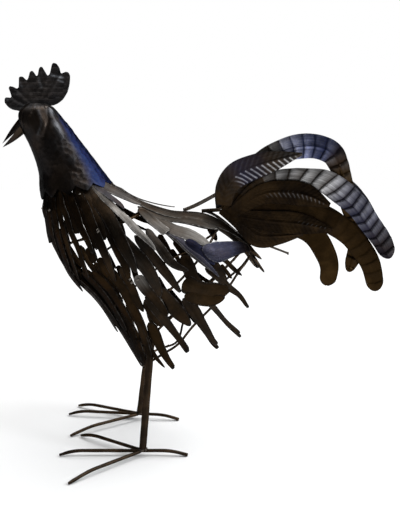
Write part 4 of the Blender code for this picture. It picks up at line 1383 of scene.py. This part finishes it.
def beak(name, ridge, tip, rim, half_width, node):
    """A beak sheet from its ridge and rim (x, z) at the face to its tip."""
    t = np.linspace(0.0, 0.985, BEAK_ROWS)[:, None]
    q = np.linspace(-1.0, 1.0, BEAK_COLUMNS)
    rise = 1 - np.abs(q) ** 1.6
    base_x = rim[0] + (ridge[0] - rim[0]) * rise
    base_z = rim[1] + (ridge[1] - rim[1]) * rise
    x = base_x + (tip[0] - base_x) * t
    y = q * half_width * (1 - t) ** 0.85
    z = base_z + (tip[1] - base_z) * t + BEAK_BULGE * np.sin(math.pi * t) * rise * (ridge[1] - rim[1])
    upper = np.stack((x, y, z), -1)
    under = upper[:, ::-1].copy()
    floor_z = rim[1] + (tip[1] - rim[1]) * t
    under[..., 2] = floor_z + (under[..., 2] - floor_z) * 0.25
    rings = np.concatenate((upper, under[:, 1:-1]), axis=1)
    lengthwise = np.broadcast_to(t * 0.03, rings.shape[:2])
    across = np.broadcast_to(np.linspace(0, 0.02, rings.shape[1]), rings.shape[:2])
    grain = np.stack((lengthwise, across, np.full(across.shape, BEAK_NUMBER)), -1)
    bench = Bench()
    bench.loft(rings, grain, tone=0.12, warm=0.30 * (1 - t), edge=0.3 * t)
    bench.piece(name, NECK_METAL, "neck_metal", node, sharp=35.0)


UPPER_BEAK = ((-0.2335, 0.4290), (-0.2564, 0.3968), (-0.2325, 0.4190), 0.0090)
LOWER_BEAK = ((-0.2270, 0.4100), (-0.2563, 0.3920), (-0.2305, 0.4185), 0.0084)
beak("beak_upper_sheet", *UPPER_BEAK, "beak_upper")
beak("beak_lower_sheet", *LOWER_BEAK, "beak_lower")

# %% [markdown]
# Hoops, legs, toes and braces are round bar. A curve with a round bevel would give a bar in
# one line. A lofted tube also takes the marks, a slightly uneven radius, because bar that
# was bent hot and welded is never quite round, and soft ends.

# %% A line for a bar
CORNER_POINTS = 12


def round_corners(points, radius):
    """Straight runs whose inner corners are replaced by short arcs."""
    dense = [points[0]]
    t = np.linspace(0, 1, CORNER_POINTS)[:, None]
    for before, corner, after in zip(points, points[1:], points[2:]):
        start = corner + unit(before - corner) * radius
        end = corner + unit(after - corner) * radius
        dense += list((1 - t) ** 2 * start + 2 * t * (1 - t) * corner + t ** 2 * end)
    dense.append(points[-1])
    return np.array(dense)


def smooth_line(points, step, closed=False, corner=None):
    """Points a step apart on a smooth curve through the given ones, or on rounded straight runs."""
    points = np.array(points, float)
    if closed:
        wrapped = np.concatenate((points[-2:], points, points[:2]))
        dense = spline(wrapped, np.linspace(2, 2 + len(points), 40 * len(points), endpoint=False))
        dense = np.concatenate((dense, dense[:1]))
    elif corner is None:
        dense = spline(points, np.linspace(0, len(points) - 1, 60 * len(points)))
    else:
        dense = round_corners(points, corner)
    steps = np.concatenate(([0.0], np.cumsum(np.linalg.norm(np.diff(dense, axis=0), axis=1))))
    count = max(int(steps[-1] / step), 3)
    places = np.linspace(0, steps[-1], count + 1)
    line = np.column_stack([np.interp(places, steps, dense[:, k]) for k in range(3)])
    return line[:-1] if closed else line


sample = smooth_line([(0, 0, 0), (1, 0, 0), (1, 1, 0)], 0.1, corner=0.3)
print("two runs of 1 m with a rounded corner:", len(sample), "points")

# %% A round bar
# The rings of a rounded end, the last one first: how far out and how wide, as shares of the radius
ROUND_END = ((0.42, 0.25), (0.36, 0.62), (0.18, 0.90))
FIRST_SIDE = (0.31, 0.22, 0.92)


def bar_frames(heading, closed):
    """Two directions across the bar at each point, which don't twist about its line."""
    side = unit(np.cross(heading[0], FIRST_SIDE))
    frames = []
    for direction in heading:
        side = unit(side - direction * (side @ direction))
        frames.append((side, np.cross(direction, side)))
    if not closed:
        return frames
    first = frames[0][0]
    last = unit(frames[-1][0] - heading[0] * (frames[-1][0] @ heading[0]))
    slip = math.atan2(np.cross(last, first) @ heading[0], last @ first)
    turns = [slip * k / len(heading) for k in range(len(heading))]
    return [(s * math.cos(turn) + b * math.sin(turn), b * math.cos(turn) - s * math.sin(turn))
            for turn, (s, b) in zip(turns, frames)]


def end_rings(ring, centre, way):
    return [centre + way * reach + (ring - centre) * share for reach, share in ROUND_END]


def tube(bench, line, radius, sides=16, closed=False, tone=0.1, taper=None):
    """A round bar along a line of points, with rounded ends."""
    count = len(line)
    if closed:
        heading = unit(np.roll(line, -1, axis=0) - np.roll(line, 1, axis=0))
    else:
        heading = unit(np.gradient(line, axis=0))
    phase = random.uniform(0, 6.28, 3)
    travelled = np.arange(count) * np.linalg.norm(line[1] - line[0])
    uneven = 1 + 0.02 * np.sin(travelled * 210 + phase[0]) + 0.015 * np.sin(travelled * 90 + phase[1])
    radii = radius * (uneven if not closed else np.ones(count))
    if taper is not None:
        radii = radii * taper(np.linspace(0, 1, count))
    around = np.arange(sides) * 2 * math.pi / sides
    rings = np.array([point + r * (np.cos(around)[:, None] * s + np.sin(around)[:, None] * b)
                      for point, r, (s, b) in zip(line, radii, bar_frames(heading, closed))])
    if not closed:
        start = end_rings(rings[0], line[0], -heading[0] * radii[0])
        end = end_rings(rings[-1], line[-1], heading[-1] * radii[-1])
        rings = np.concatenate((start, rings, end[::-1]))
    lengthwise = np.linspace(0, travelled[-1], len(rings))[:, None] * np.ones(sides)
    across = (around * radius)[None] * np.ones((len(rings), 1))
    number = np.full(across.shape, random.uniform(0, 60))
    bench.loft(rings, np.stack((lengthwise, across, number), -1), closed=closed, tone=tone)


print("a rounded end adds", len(ROUND_END), "rings")

# %% [markdown]
# Five hoops of round wire carry the strips from inside. None of them is quite level, and a
# tilted circle wouldn't follow the body. So a hoop is given by the ring it passes at some
# angles, and by how far it follows the rise of the strips over it.

# %% Hoops of the cage
HOOP_WIRE = 0.0032
HOOP_INSET = HOOP_WIRE / 2 + 0.00048
HOOP_STEP = 0.004
HOOPS = {
    "hoop_neck": (0.0, [(0, 6.90)]),
    "hoop_breast": (0.0, [(0, 9.35), (104, 9.38), (118, 9.30), (180, 9.30), (235, 9.46), (270, 9.46)]),
    "hoop_flank": (0.0, [(0, 11.32), (25, 11.38), (65, 11.66), (90, 11.77), (115, 11.70), (150, 11.50),
                         (180, 11.42), (270, 11.42), (292, 11.57), (325, 11.57), (345, 11.40)]),
    "hoop_leg": (0.0006, [(0, 12.42), (45, 12.38), (110, 12.40), (140, 12.55), (180, 12.62), (225, 12.64),
                          (250, 12.83), (260, 12.85), (308, 12.83), (325, 12.75), (345, 12.56)]),
    "hoop_rear": (0.0012, [(0, 12.95), (35, 12.90), (50, 13.00), (60, 13.08), (94, 13.08), (110, 13.22),
                           (120, 13.13), (135, 13.07), (205, 13.07), (226, 13.30), (232, 13.46),
                           (238, 13.58), (245, 13.54), (251, 13.18), (260, 13.10), (275, 13.10),
                           (300, 13.20), (325, 13.22), (345, 13.05)]),
}


def hoop_ring(name, angle):
    """The ring at which a hoop passes an angle."""
    angles, rings = np.array(HOOPS[name][1], float).T
    return np.interp(angle, angles, rings, period=360.0)


def in_hoop(name, u, angle):
    """The middle of a hoop's wire, under the strips."""
    return on_cage(u, angle, HOOPS[name][0] - HOOP_INSET)


around = np.arange(0, 360, 5)
for name in HOOPS:
    level = hoop_ring(name, around)
    for _ in range(2):
        level = (np.roll(level, 1) + 2 * level + np.roll(level, -1)) / 4
    bench = Bench()
    line = smooth_line(in_hoop(name, level, around), HOOP_STEP, closed=True)
    tube(bench, line, HOOP_WIRE / 2, 12, closed=True)
    bench.piece(name + "_wire", ROD_METAL, "rod_metal", name)

# %% [markdown]
# Each leg is one straight rod from the foot up past the leg hoop, to which it is welded from
# inside. Its top could be typed in as a point. Taking it from the hoop keeps the two
# together whatever the body's form is.

# %% Legs
LEG_ROD = 0.0094
TOE_ROD = 0.0044
TOE_HEIGHT = 0.0080
LEG_FOOT = {"left": (-0.0735, -0.071), "right": (-0.0880, 0.0565)}
LEG_ANGLE = {"left": 134.0, "right": 212.0}
LEG_GAP = 0.0009
LEG_LAP = 0.0006
LEG_STEP = 0.004


def leg_top(side):
    """Where the leg's rod crosses the inner side of the leg hoop."""
    angle = LEG_ANGLE[side]
    u = hoop_ring("hoop_leg", angle)
    wire = in_hoop("hoop_leg", u, angle)
    aside = unit(np.cross(wire - np.array([*LEG_FOOT[side], TOE_HEIGHT]), round_the_body(u, angle)))
    inward = aside if aside[1] * wire[1] < 0 else -aside
    return wire + inward * (HOOP_WIRE / 2 + LEG_ROD / 2 + LEG_GAP)


def leg(side):
    x, y = LEG_FOOT[side]
    top = leg_top(side)
    start = np.array([x, y, TOE_HEIGHT + TOE_ROD / 2 - LEG_LAP])
    end = top + unit(top - start) * LEG_ROD
    bench = Bench()
    tube(bench, smooth_line([start, start * 0.5 + end * 0.5, end], LEG_STEP), LEG_ROD / 2, 22)
    bench.piece(f"leg_{side}_rod", ROD_METAL, "rod_metal", f"leg_{side}")


print("left leg crosses its hoop at", [round(float(v), 4) for v in leg_top("left")])

# %% [markdown]
# A foot is three rods: a long one for the middle and the rear toe, which passes under the
# leg, and one for each side toe. Their ends are bent down as claws and touch the ground.
# Straight runs with rounded corners give that bend, where a smooth curve would sag.

# %% Toes
FOOT_TURN = {"left": 0.0, "right": 7.0}
# Side toes: the angle from the middle toe, how far the straight part reaches, and the claw
SIDE_TOES = {"left": {"outer": (44.0, 0.082, 0.113), "inner": (-35.0, 0.088, 0.110)},
             "right": {"outer": (-19.5, 0.088, 0.110), "inner": (43.5, 0.080, 0.112)}}
TOE_REACH = 0.0885
TOE_TIP = 0.1075
SPUR_REACH = 0.0360
SPUR_CLAW = 0.0220
CLAW_AXIS_HEIGHT = 0.0022
CLAW_END = 0.001
SIDE_TOE_START = 0.004
TOE_BEND = 0.012
TOE_STEP = 0.0022


def toe(side, name, angle, reaches):
    """A toe rod through points given by their reach from the leg and their height."""
    x, y = LEG_FOOT[side]
    a = math.radians(angle - FOOT_TURN[side])
    points = [(x - reach * math.cos(a), y - reach * math.sin(a), z) for reach, z in reaches]
    bench = Bench()
    tube(bench, smooth_line(points, TOE_STEP, corner=TOE_BEND), TOE_ROD / 2, 14,
         taper=lambda t: 1 - 0.25 * smooth_step(t, 0.93, 1.0))
    bench.piece(f"toe_{side}_{name}_rod", ROD_METAL, "rod_metal", f"toe_{side}_{name}")


def foot(side):
    claw = [(TOE_REACH, TOE_HEIGHT), (TOE_TIP - CLAW_END, CLAW_AXIS_HEIGHT)]
    spur = [(-SPUR_REACH - SPUR_CLAW + CLAW_END, CLAW_AXIS_HEIGHT), (-SPUR_REACH, TOE_HEIGHT)]
    toe(side, "long", 0.0, spur + claw)
    for name, (angle, reach, tip) in SIDE_TOES[side].items():
        toe(side, name, angle, [(SIDE_TOE_START, TOE_HEIGHT), (reach, TOE_HEIGHT),
                                (tip - CLAW_END, CLAW_AXIS_HEIGHT)])


for side in ("left", "right"):
    leg(side)
    foot(side)

# %% [markdown]
# The tail is a fan of long blades that leave one root and spread sideways. Two kinds are in
# it. Sickle feathers have a midrib and wide pressed bands, and lance feathers have a midrib
# and fine barbs in a herringbone. A texture could draw both, but light that grazes a blade
# shows them as real relief, so the pattern moves the points of the mesh. It also paints shade
# into the tone: darker creases, a dark line along the rib, a darker inner side and darker
# grooves between the barbs.

# %% Pressed patterns
BAND_PITCH = 0.0140
BARB_PITCH = 0.0060
RIB_WIDTH = 0.0012


def feather_bands(t, length, offset, q, seed, pitch=BAND_PITCH, chevron=0.1, lean=0.0, rib_place=0.0,
                  rib=0.3, rib_shadow_line=0.0, patchy=0.5, halves=False, inner_shade=1.0, depth=1.0):
    """Relief, painted shade and glint of wide pressed bands with a crease between each two."""
    dice = np.random.default_rng(seed)
    pitch, chevron, lean, rib_place, rib_shadow_line, inner_shade = (
        along(t, value)[:, None] for value in (pitch, chevron, lean, rib_place, rib_shadow_line, inner_shade))
    beside = offset - rib_place * np.abs(offset[:, :1])
    passed = np.cumsum(np.gradient(length) / pitch[:, 0])[:, None]
    phase = passed + (np.abs(beside) * chevron - beside * lean) / pitch + 4
    saw = phase % 1.0
    band = smooth_step(saw, 0.02, 0.16) * (1 - smooth_step(saw, 0.20, 1.0))
    crease = bump_profile(saw - 0.02, 0.06) + bump_profile(saw - 1.02, 0.06)
    relief = 0.9 * band * (1 - q ** 4) - 0.5 * (1 - band) + 0.8 * rib * bump_profile(beside, RIB_WIDTH)
    tint = 1.12 - patchy * dice.random((2, 60))
    side = (beside > 0).astype(int) * (1 if halves else 0)
    # Painted shade: darker in the creases and off the raised part of each band, along the rib line and on
    # the inner side
    shade = tint[side, phase.astype(int)] * (0.45 + 0.55 * band) * (1 - 0.85 * crease)
    shade = shade * (1 - rib_shadow_line * bump_profile(beside, 0.0010))
    shade = shade * np.where(beside < 0, inner_shade, 1.0)
    return relief * depth, shade, 0.0


def feather_barbs(t, length, offset, q, pitch=BARB_PITCH, glints=()):
    """Relief, painted shade and painted glint of fine barbs; the glints say where single barbs shine."""
    saw = (length[:, None] + np.abs(offset) * -0.8) / pitch % 1.0
    band = np.sin(math.pi * saw) ** 0.8
    relief = (0.45 - 0.25 * smooth_step(q, -0.1, 0.1)) * band + 0.9 * bump_profile(offset, RIB_WIDTH)
    # Painted shade in the grooves between barbs; the glints are painted highlights where single barbs catch
    # the light
    shade = 0.55 + 0.45 * band ** 2
    glint = np.zeros(offset.shape)
    for side, start, end, inner, outer, strength in glints:
        place = (smooth_step(t, start, start + 0.08) * (1 - smooth_step(t, end - 0.08, end)))[:, None]
        place = place * smooth_step(side * q, inner, inner + 0.05)
        place = place * (1 - smooth_step(side * q, outer - 0.08, outer))
        glint += strength * place * bump_profile(saw - 0.5, 0.10)
    return relief, shade, glint


print("bands", BAND_PITCH, "m apart, barbs", BARB_PITCH, "m apart")

# %% [markdown]
# A blade's middle line and widths are given as the side view shows them. Its rank says how
# many places it stands to the side of the middle one, and the further a point is from the
# root, the further apart the ranks are. Flat blades could be turned by hand until none
# touches another, but this one rule keeps them apart everywhere.

# %% A feather blade
FEATHER_SHEET = 0.0010
TAIL_ROOT = (0.034, 0.313)
ROOT_PITCH = 0.00142
FAN_SPREAD = 0.0165
FEATHER_COLUMNS = 25
RIM_OVERHANG = 0.05
# Of each kind: its pattern and the step between rings, finer for the fine barbs
FEATHER_KINDS = {"sickle": (feather_bands, 0.0013), "lance": (feather_barbs, 0.0009)}


def fan_y(x, z, rank):
    distance = np.hypot(x - TAIL_ROOT[0], z - TAIL_ROOT[1])
    return rank * (ROOT_PITCH + FAN_SPREAD * distance), distance


def feather(name, rank, centre, widths, kind, tone=0.05, blue=0.0, warm=0.0, **looks):
    """A blade along its middle line (x, z) in the fan, with the pressed pattern of its kind."""
    pattern, step = FEATHER_KINDS[kind]
    line = np.column_stack((np.array(centre), widths))
    dense = spline(line, np.linspace(0, len(line) - 1, 400))
    steps = np.concatenate(([0.0], np.cumsum(np.hypot(*np.diff(dense[:, :2], axis=0).T))))
    t = 1 - (1 - np.linspace(0, 1, int(steps[-1] / step))) ** 1.12
    length = t * steps[-1]
    x, z, width = (np.interp(length, steps, dense[:, k]) for k in range(3))
    if kind == "sickle":
        width = width * np.sqrt(np.clip(1 - (1 - np.clip((1 - t) / 0.055, 0, 1)) ** 2, 0.02, 1.0))
    heading = unit(np.column_stack((np.gradient(x), np.gradient(z))))
    q = np.linspace(-1.0, 1.0, FEATHER_COLUMNS)
    offset = (width / 2)[:, None] * q
    x = x[:, None] - offset * heading[:, 1:]
    z = z[:, None] + offset * heading[:, :1]
    y, distance = fan_y(x, z, rank)
    relief, shade, glint = pattern(t, length, offset, q, **looks)
    room = np.clip(0.42 * (FAN_SPREAD * distance - 0.0002), 0.0, 0.0016)
    y = y + (-1.0 if rank <= 0 else 1.0) * room * (relief - 0.5 * q ** 2)
    edge = ring_values(np.clip(np.abs(q) * 8 - 7.2, 0, 1) * np.ones((len(t), 1)), 1.0)
    grain = ring_grain(length, q, width / 2, random.uniform(0, 80))
    bench = Bench()
    # The tone takes the pattern's painted shade and glints
    bench.loft(blade_rings(np.stack((x, y, z), -1)), grain,
               tone=ring_values(along(t, tone)[:, None] * shade + glint, 0.05),
               blue=along(t, blue)[:, None], warm=along(t, warm)[:, None], edge=edge)
    bench.piece(name + "_blade", FEATHER_METAL, "feather_metal", name, sharp=60.0)


def blade_rings(spine):
    """Rings of a sheet round its middle surface (rows, columns, 3)."""
    normal = unit(np.cross(np.gradient(spine, axis=0), np.gradient(spine, axis=1)))
    top = spine + normal * FEATHER_SHEET / 2
    bottom = spine - normal * FEATHER_SHEET / 2
    rim_left = spine[:, :1] + (spine[:, :1] - spine[:, 1:2]) * RIM_OVERHANG
    rim_right = spine[:, -1:] + (spine[:, -1:] - spine[:, -2:-1]) * RIM_OVERHANG
    return np.concatenate((top, rim_right, bottom[:, ::-1], rim_left), axis=1)


print("ranks stand", round(float(fan_y(0.2, 0.3, 1)[0]) * 1000, 1), "mm apart near the tips")

# %% [markdown]
# Six sickles make the outline of the tail: the arch on top, two long ones below it, two low
# ones and a short inner one. The upper three are brushed and partly blue: their bright bands
# are partly painted highlight and their blue is a painted sheen, a reflection. The lower ones
# are nearly black with a brown cast towards their tips. Twelve sculpted blades would be hard
# to correct, and in a table of lines and widths each correction is one number.

# %% Sickle feathers
SICKLES = {
    "sickle_arch": (0, (
        (0.035, 0.310), (0.056, 0.351), (0.083, 0.3765), (0.108, 0.3880), (0.130, 0.3935), (0.152, 0.393),
        (0.171, 0.385), (0.181, 0.369), (0.1885, 0.348), (0.197, 0.318), (0.206, 0.290), (0.2065, 0.261),
        (0.1985, 0.2285)),
        (0.018, 0.023, 0.026, 0.030, 0.032, 0.031, 0.030, 0.026, 0.022, 0.025, 0.021, 0.020, 0.018),
        dict(tone=((0, 0.04), (0.18, 0.10), (0.25, 0.55), (0.315, 0.60), (0.33, 1.40), (0.39, 1.35),
                   (0.43, 1.10), (0.50, 0.85), (0.53, 0.38), (0.60, 0.16), (0.75, 0.04)),
             warm=((0.50, 0.0), (0.56, 0.25)),
             blue=((0.31, 0.0), (0.33, 0.55), (0.41, 0.85), (0.50, 0.80), (0.54, 0.15), (0.60, 0.0)),
             chevron=0.12, rib=1.0, rib_shadow_line=0.6, patchy=0.85, halves=True)),
    "sickle_long_left": (-3, (
        (0.046, 0.314), (0.068, 0.339), (0.092, 0.354), (0.114, 0.357), (0.137, 0.355), (0.161, 0.349),
        (0.183, 0.335), (0.204, 0.317), (0.222, 0.293), (0.2374, 0.272), (0.2486, 0.2492)),
        (0.012, 0.013, 0.013, 0.016, 0.021, 0.029, 0.032, 0.029, 0.027, 0.025, 0.020),
        dict(tone=((0, 0.05), (0.16, 0.10), (0.22, 0.48), (0.31, 0.62), (0.36, 1.05), (0.56, 1.05),
                   (0.64, 0.90), (0.76, 0.70), (0.84, 0.40), (0.90, 0.30), (1, 0.12)),
             blue=((0.50, 0.0), (0.62, 0.40), (0.80, 0.45), (0.92, 0.15)),
             pitch=((0.3, 0.0170), (0.6, 0.0160), (0.8, 0.0125)), chevron=((0.5, 0.0), (0.65, 0.35)),
             lean=((0.30, 0.15), (0.40, 0.50), (0.60, 0.45), (0.70, 0.05)), rib_place=-0.35,
             rib_shadow_line=((0.50, 0.0), (0.58, 0.7)), inner_shade=((0.52, 1.0), (0.66, 0.55)), patchy=0.4)),
    "sickle_long_right": (2, (
        (0.040, 0.308), (0.070, 0.340), (0.095, 0.354), (0.118, 0.3565), (0.142, 0.3545), (0.167, 0.348),
        (0.190, 0.339), (0.210, 0.320), (0.2255, 0.296), (0.239, 0.274), (0.247, 0.254)),
        (0.012, 0.013, 0.014, 0.017, 0.021, 0.026, 0.028, 0.026, 0.024, 0.022, 0.019),
        dict(tone=((0, 0.05), (0.30, 0.10), (0.45, 0.35), (0.80, 0.30), (1, 0.10)),
             blue=((0.50, 0.0), (0.65, 0.35), (0.90, 0.1)), chevron=0.0, lean=0.50)),
    "sickle_low_left": (-1, (
        (0.043, 0.304), (0.088, 0.312), (0.128, 0.310), (0.157, 0.301), (0.178, 0.292), (0.198, 0.278),
        (0.213, 0.260), (0.2265, 0.238), (0.235, 0.2035)),
        (0.014, 0.022, 0.027, 0.029, 0.031, 0.030, 0.029, 0.026, 0.022),
        dict(tone=0.02, warm=((0.3, 0.0), (0.7, 0.20)), chevron=0.15, depth=0.16)),
    "sickle_low_right": (5, (
        (0.033, 0.308), (0.090, 0.314), (0.130, 0.315), (0.160, 0.306), (0.186, 0.291), (0.204, 0.271),
        (0.214, 0.249)),
        (0.014, 0.021, 0.024, 0.026, 0.026, 0.022, 0.019),
        dict(tone=0.02, warm=((0.3, 0.0), (0.7, 0.16)), chevron=0.15, depth=0.16)),
    "sickle_inner_left": (1, (
        (0.043, 0.302), (0.088, 0.294), (0.126, 0.289), (0.1505, 0.2775), (0.1660, 0.255), (0.1730, 0.234),
        (0.1702, 0.209)),
        (0.014, 0.023, 0.027, 0.029, 0.028, 0.025, 0.021),
        dict(tone=0.0, warm=((0.2, 0.0), (0.6, 0.20)), chevron=0.15, depth=0.10)),
}
for name, (rank, centre, widths, looks) in SICKLES.items():
    feather(name, rank, centre, widths, "sickle", seed=len(name), **looks)

# %% [markdown]
# The lances fill the fan in front of the sickles and end in points. The same helper makes
# them with the other pattern. Single barbs shine where the light hits them, and a glint, a
# painted highlight in the tone, says where: on which side of the rib, from where to where
# along the blade and across it, and how strongly. The blue of the front lances is a painted
# sheen as well.

# %% Lance feathers
LANCES = {
    "lance_front_left": (-6, (
        (0.031, 0.318), (0.034, 0.340), (0.047, 0.357), (0.068, 0.367), (0.094, 0.375), (0.130, 0.384)),
        (0.020, 0.028, 0.033, 0.032, 0.026, 0.003),
        dict(tone=((0, 0.04), (0.30, 0.10), (0.60, 0.10), (1, 0.24)),
             blue=((0.25, 0), (0.38, 0.40), (0.55, 0.25), (0.7, 0)), pitch=0.0074,
             glints=((-1, 0.26, 0.97, 0.04, 1.0, 1.15), (1, 0.30, 0.60, 0.10, 0.80, 0.06)))),
    "lance_middle_left": (-5, (
        (0.040, 0.306), (0.078, 0.331), (0.110, 0.335), (0.138, 0.331), (0.167, 0.318)),
        (0.014, 0.026, 0.031, 0.029, 0.007),
        dict(tone=0.03, glints=((-1, 0.35, 0.98, 0.02, 0.45, 0.35), (1, 0.45, 0.70, -0.02, 0.12, 0.35)))),
    "lance_low_left": (-4, (
        (0.040, 0.304), (0.090, 0.297), (0.128, 0.294), (0.172, 0.286)),
        (0.014, 0.027, 0.028, 0.006),
        dict(tone=0.03, glints=((1, 0.62, 0.98, -0.02, 0.30, 0.35),))),
    "lance_under_left": (-2, (
        (0.030, 0.314), (0.052, 0.297), (0.076, 0.278), (0.102, 0.277), (0.135, 0.280)),
        (0.018, 0.022, 0.031, 0.024, 0.005), dict(tone=0.04)),
    "lance_front_right": (6, (
        (0.031, 0.311), (0.034, 0.335), (0.047, 0.353), (0.068, 0.363), (0.092, 0.370), (0.126, 0.378)),
        (0.020, 0.028, 0.033, 0.031, 0.024, 0.003),
        dict(tone=0.15, blue=((0.25, 0), (0.40, 0.30), (0.60, 0.15), (0.8, 0)),
             glints=((-1, 0.30, 0.95, 0.04, 1.0, 0.8),))),
    "lance_under_right": (4, (
        (0.030, 0.314), (0.053, 0.298), (0.078, 0.281), (0.106, 0.282), (0.138, 0.284)),
        (0.018, 0.022, 0.028, 0.024, 0.005), dict(tone=0.05)),
}
for name, (rank, centre, widths, looks) in LANCES.items():
    feather(name, rank, centre, widths, "lance", **looks)

# %% [markdown]
# A thin rod braces the tail from the back, with a shorter one under it, and the end of a
# loose wire shows below the fan. Each is a bar through a few points, with its radius and
# tone, since the upper one is brushed and the lower one is dark with painted shade, as it
# lies in shadow.

# %% Tail braces and the loose tine
BRACE_STEP = 0.0025
BRACES = {
    "tail_brace_upper": ([(-0.021, 0.0, 0.3108), (-0.0064, 0.0, 0.3168), (0.010, 0.0, 0.3252),
                          (0.031, 0.0, 0.3368)], 0.0025, 0.45),
    "tail_brace_lower": ([(0.003, 0.0, 0.3097), (0.0264, 0.0, 0.3112)], 0.0025, 0.10),
    "tail_tine": ([(x, float(fan_y(x, z, 3)[0]), z) for x, z in ((0.082, 0.266), (0.118, 0.252))],
                  0.0015, 0.45),
}
for name, (points, radius, tone) in BRACES.items():
    bench = Bench()
    tube(bench, smooth_line(points, BRACE_STEP), radius, 14, tone=tone)
    bench.piece(name + "_rod", ROD_METAL, "rod_metal", name)

# %% [markdown]
# Last come the welds. Where rods meet and where strips are fixed to a hoop, molten metal froze
# in small round beads, and some of them were brushed bright afterwards. A bead is a very
# short bar with rounded ends, so the same helper makes it, and all of them are one piece.

# %% Weld beads
BEAD = 0.0016
# Of each kind: length, the thinnest and the thickest as shares of BEAD, and tone
BEAD_KINDS = {
    "strip": (BEAD * 1.2, 0.7, 1.0, 0.75),
    "hoop": (0.0040, 0.75, 1.0, 0.25),
    "foot": (0.0026, 0.8, 1.15, 0.35),
    "brace": (0.0016, 0.6, 0.9, 0.40),
}
FOOT_BEADS = 7
BRACE_BEADS = 3
# Beads that show on the strips: ring, angle and how far out
STRIP_BEADS = [(7.85, 134, 0.0040), (7.71, 156, 0.0042), (9.27, 88, 0.0036), (9.35, 89, 0.0034),
               (7.41, 82, 0.0030), (10.98, 108, 0.0044), (11.07, 109, 0.0046), (11.10, 104, 0.0050)]


def bead(bench, place, heading, kind):
    length, thinnest, thickest, tone = BEAD_KINDS[kind]
    heading = unit(np.array(heading, float))
    line = np.array(place) + heading * (np.linspace(-0.5, 0.5, 4)[:, None] * length)
    tube(bench, line, BEAD * random.uniform(thinnest, thickest), 10, tone=tone)


bench = Bench()
for u, angle, lift in STRIP_BEADS:
    for side_angle in (angle, 360 - angle):
        bead(bench, on_cage(u, side_angle, lift), round_the_body(u, side_angle), "strip")
for name in HOOPS:
    if name == "hoop_neck":
        continue
    for angle in np.arange(6, 360, 17) + random.uniform(-5, 5, 21):
        u = float(hoop_ring(name, angle))
        place = in_hoop(name, u, angle) + outward(u, angle) * HOOP_WIRE * 0.28
        bead(bench, place, round_the_body(u, angle), "hoop")
for x, y in LEG_FOOT.values():
    for k in range(FOOT_BEADS):
        a = 2 * math.pi * (k + random.uniform(-0.25, 0.25)) / FOOT_BEADS
        place = (x + LEG_ROD / 2 * math.cos(a), y + LEG_ROD / 2 * math.sin(a), TOE_HEIGHT + TOE_ROD * 0.42)
        bead(bench, place, (-math.sin(a), math.cos(a), 0.2), "foot")
for points, radius, _ in BRACES.values():
    for end in (points[0], points[-1]):
        for k in range(BRACE_BEADS):
            a = 2 * math.pi * k / BRACE_BEADS + random.uniform(-0.4, 0.4)
            place = np.array(end) + radius * 0.75 * np.array([0.0, math.cos(a), math.sin(a)])
            bead(bench, place, (0.0, -math.sin(a), math.cos(a)), "brace")
bench.piece("weld_beads", ROD_METAL, "rod_metal")
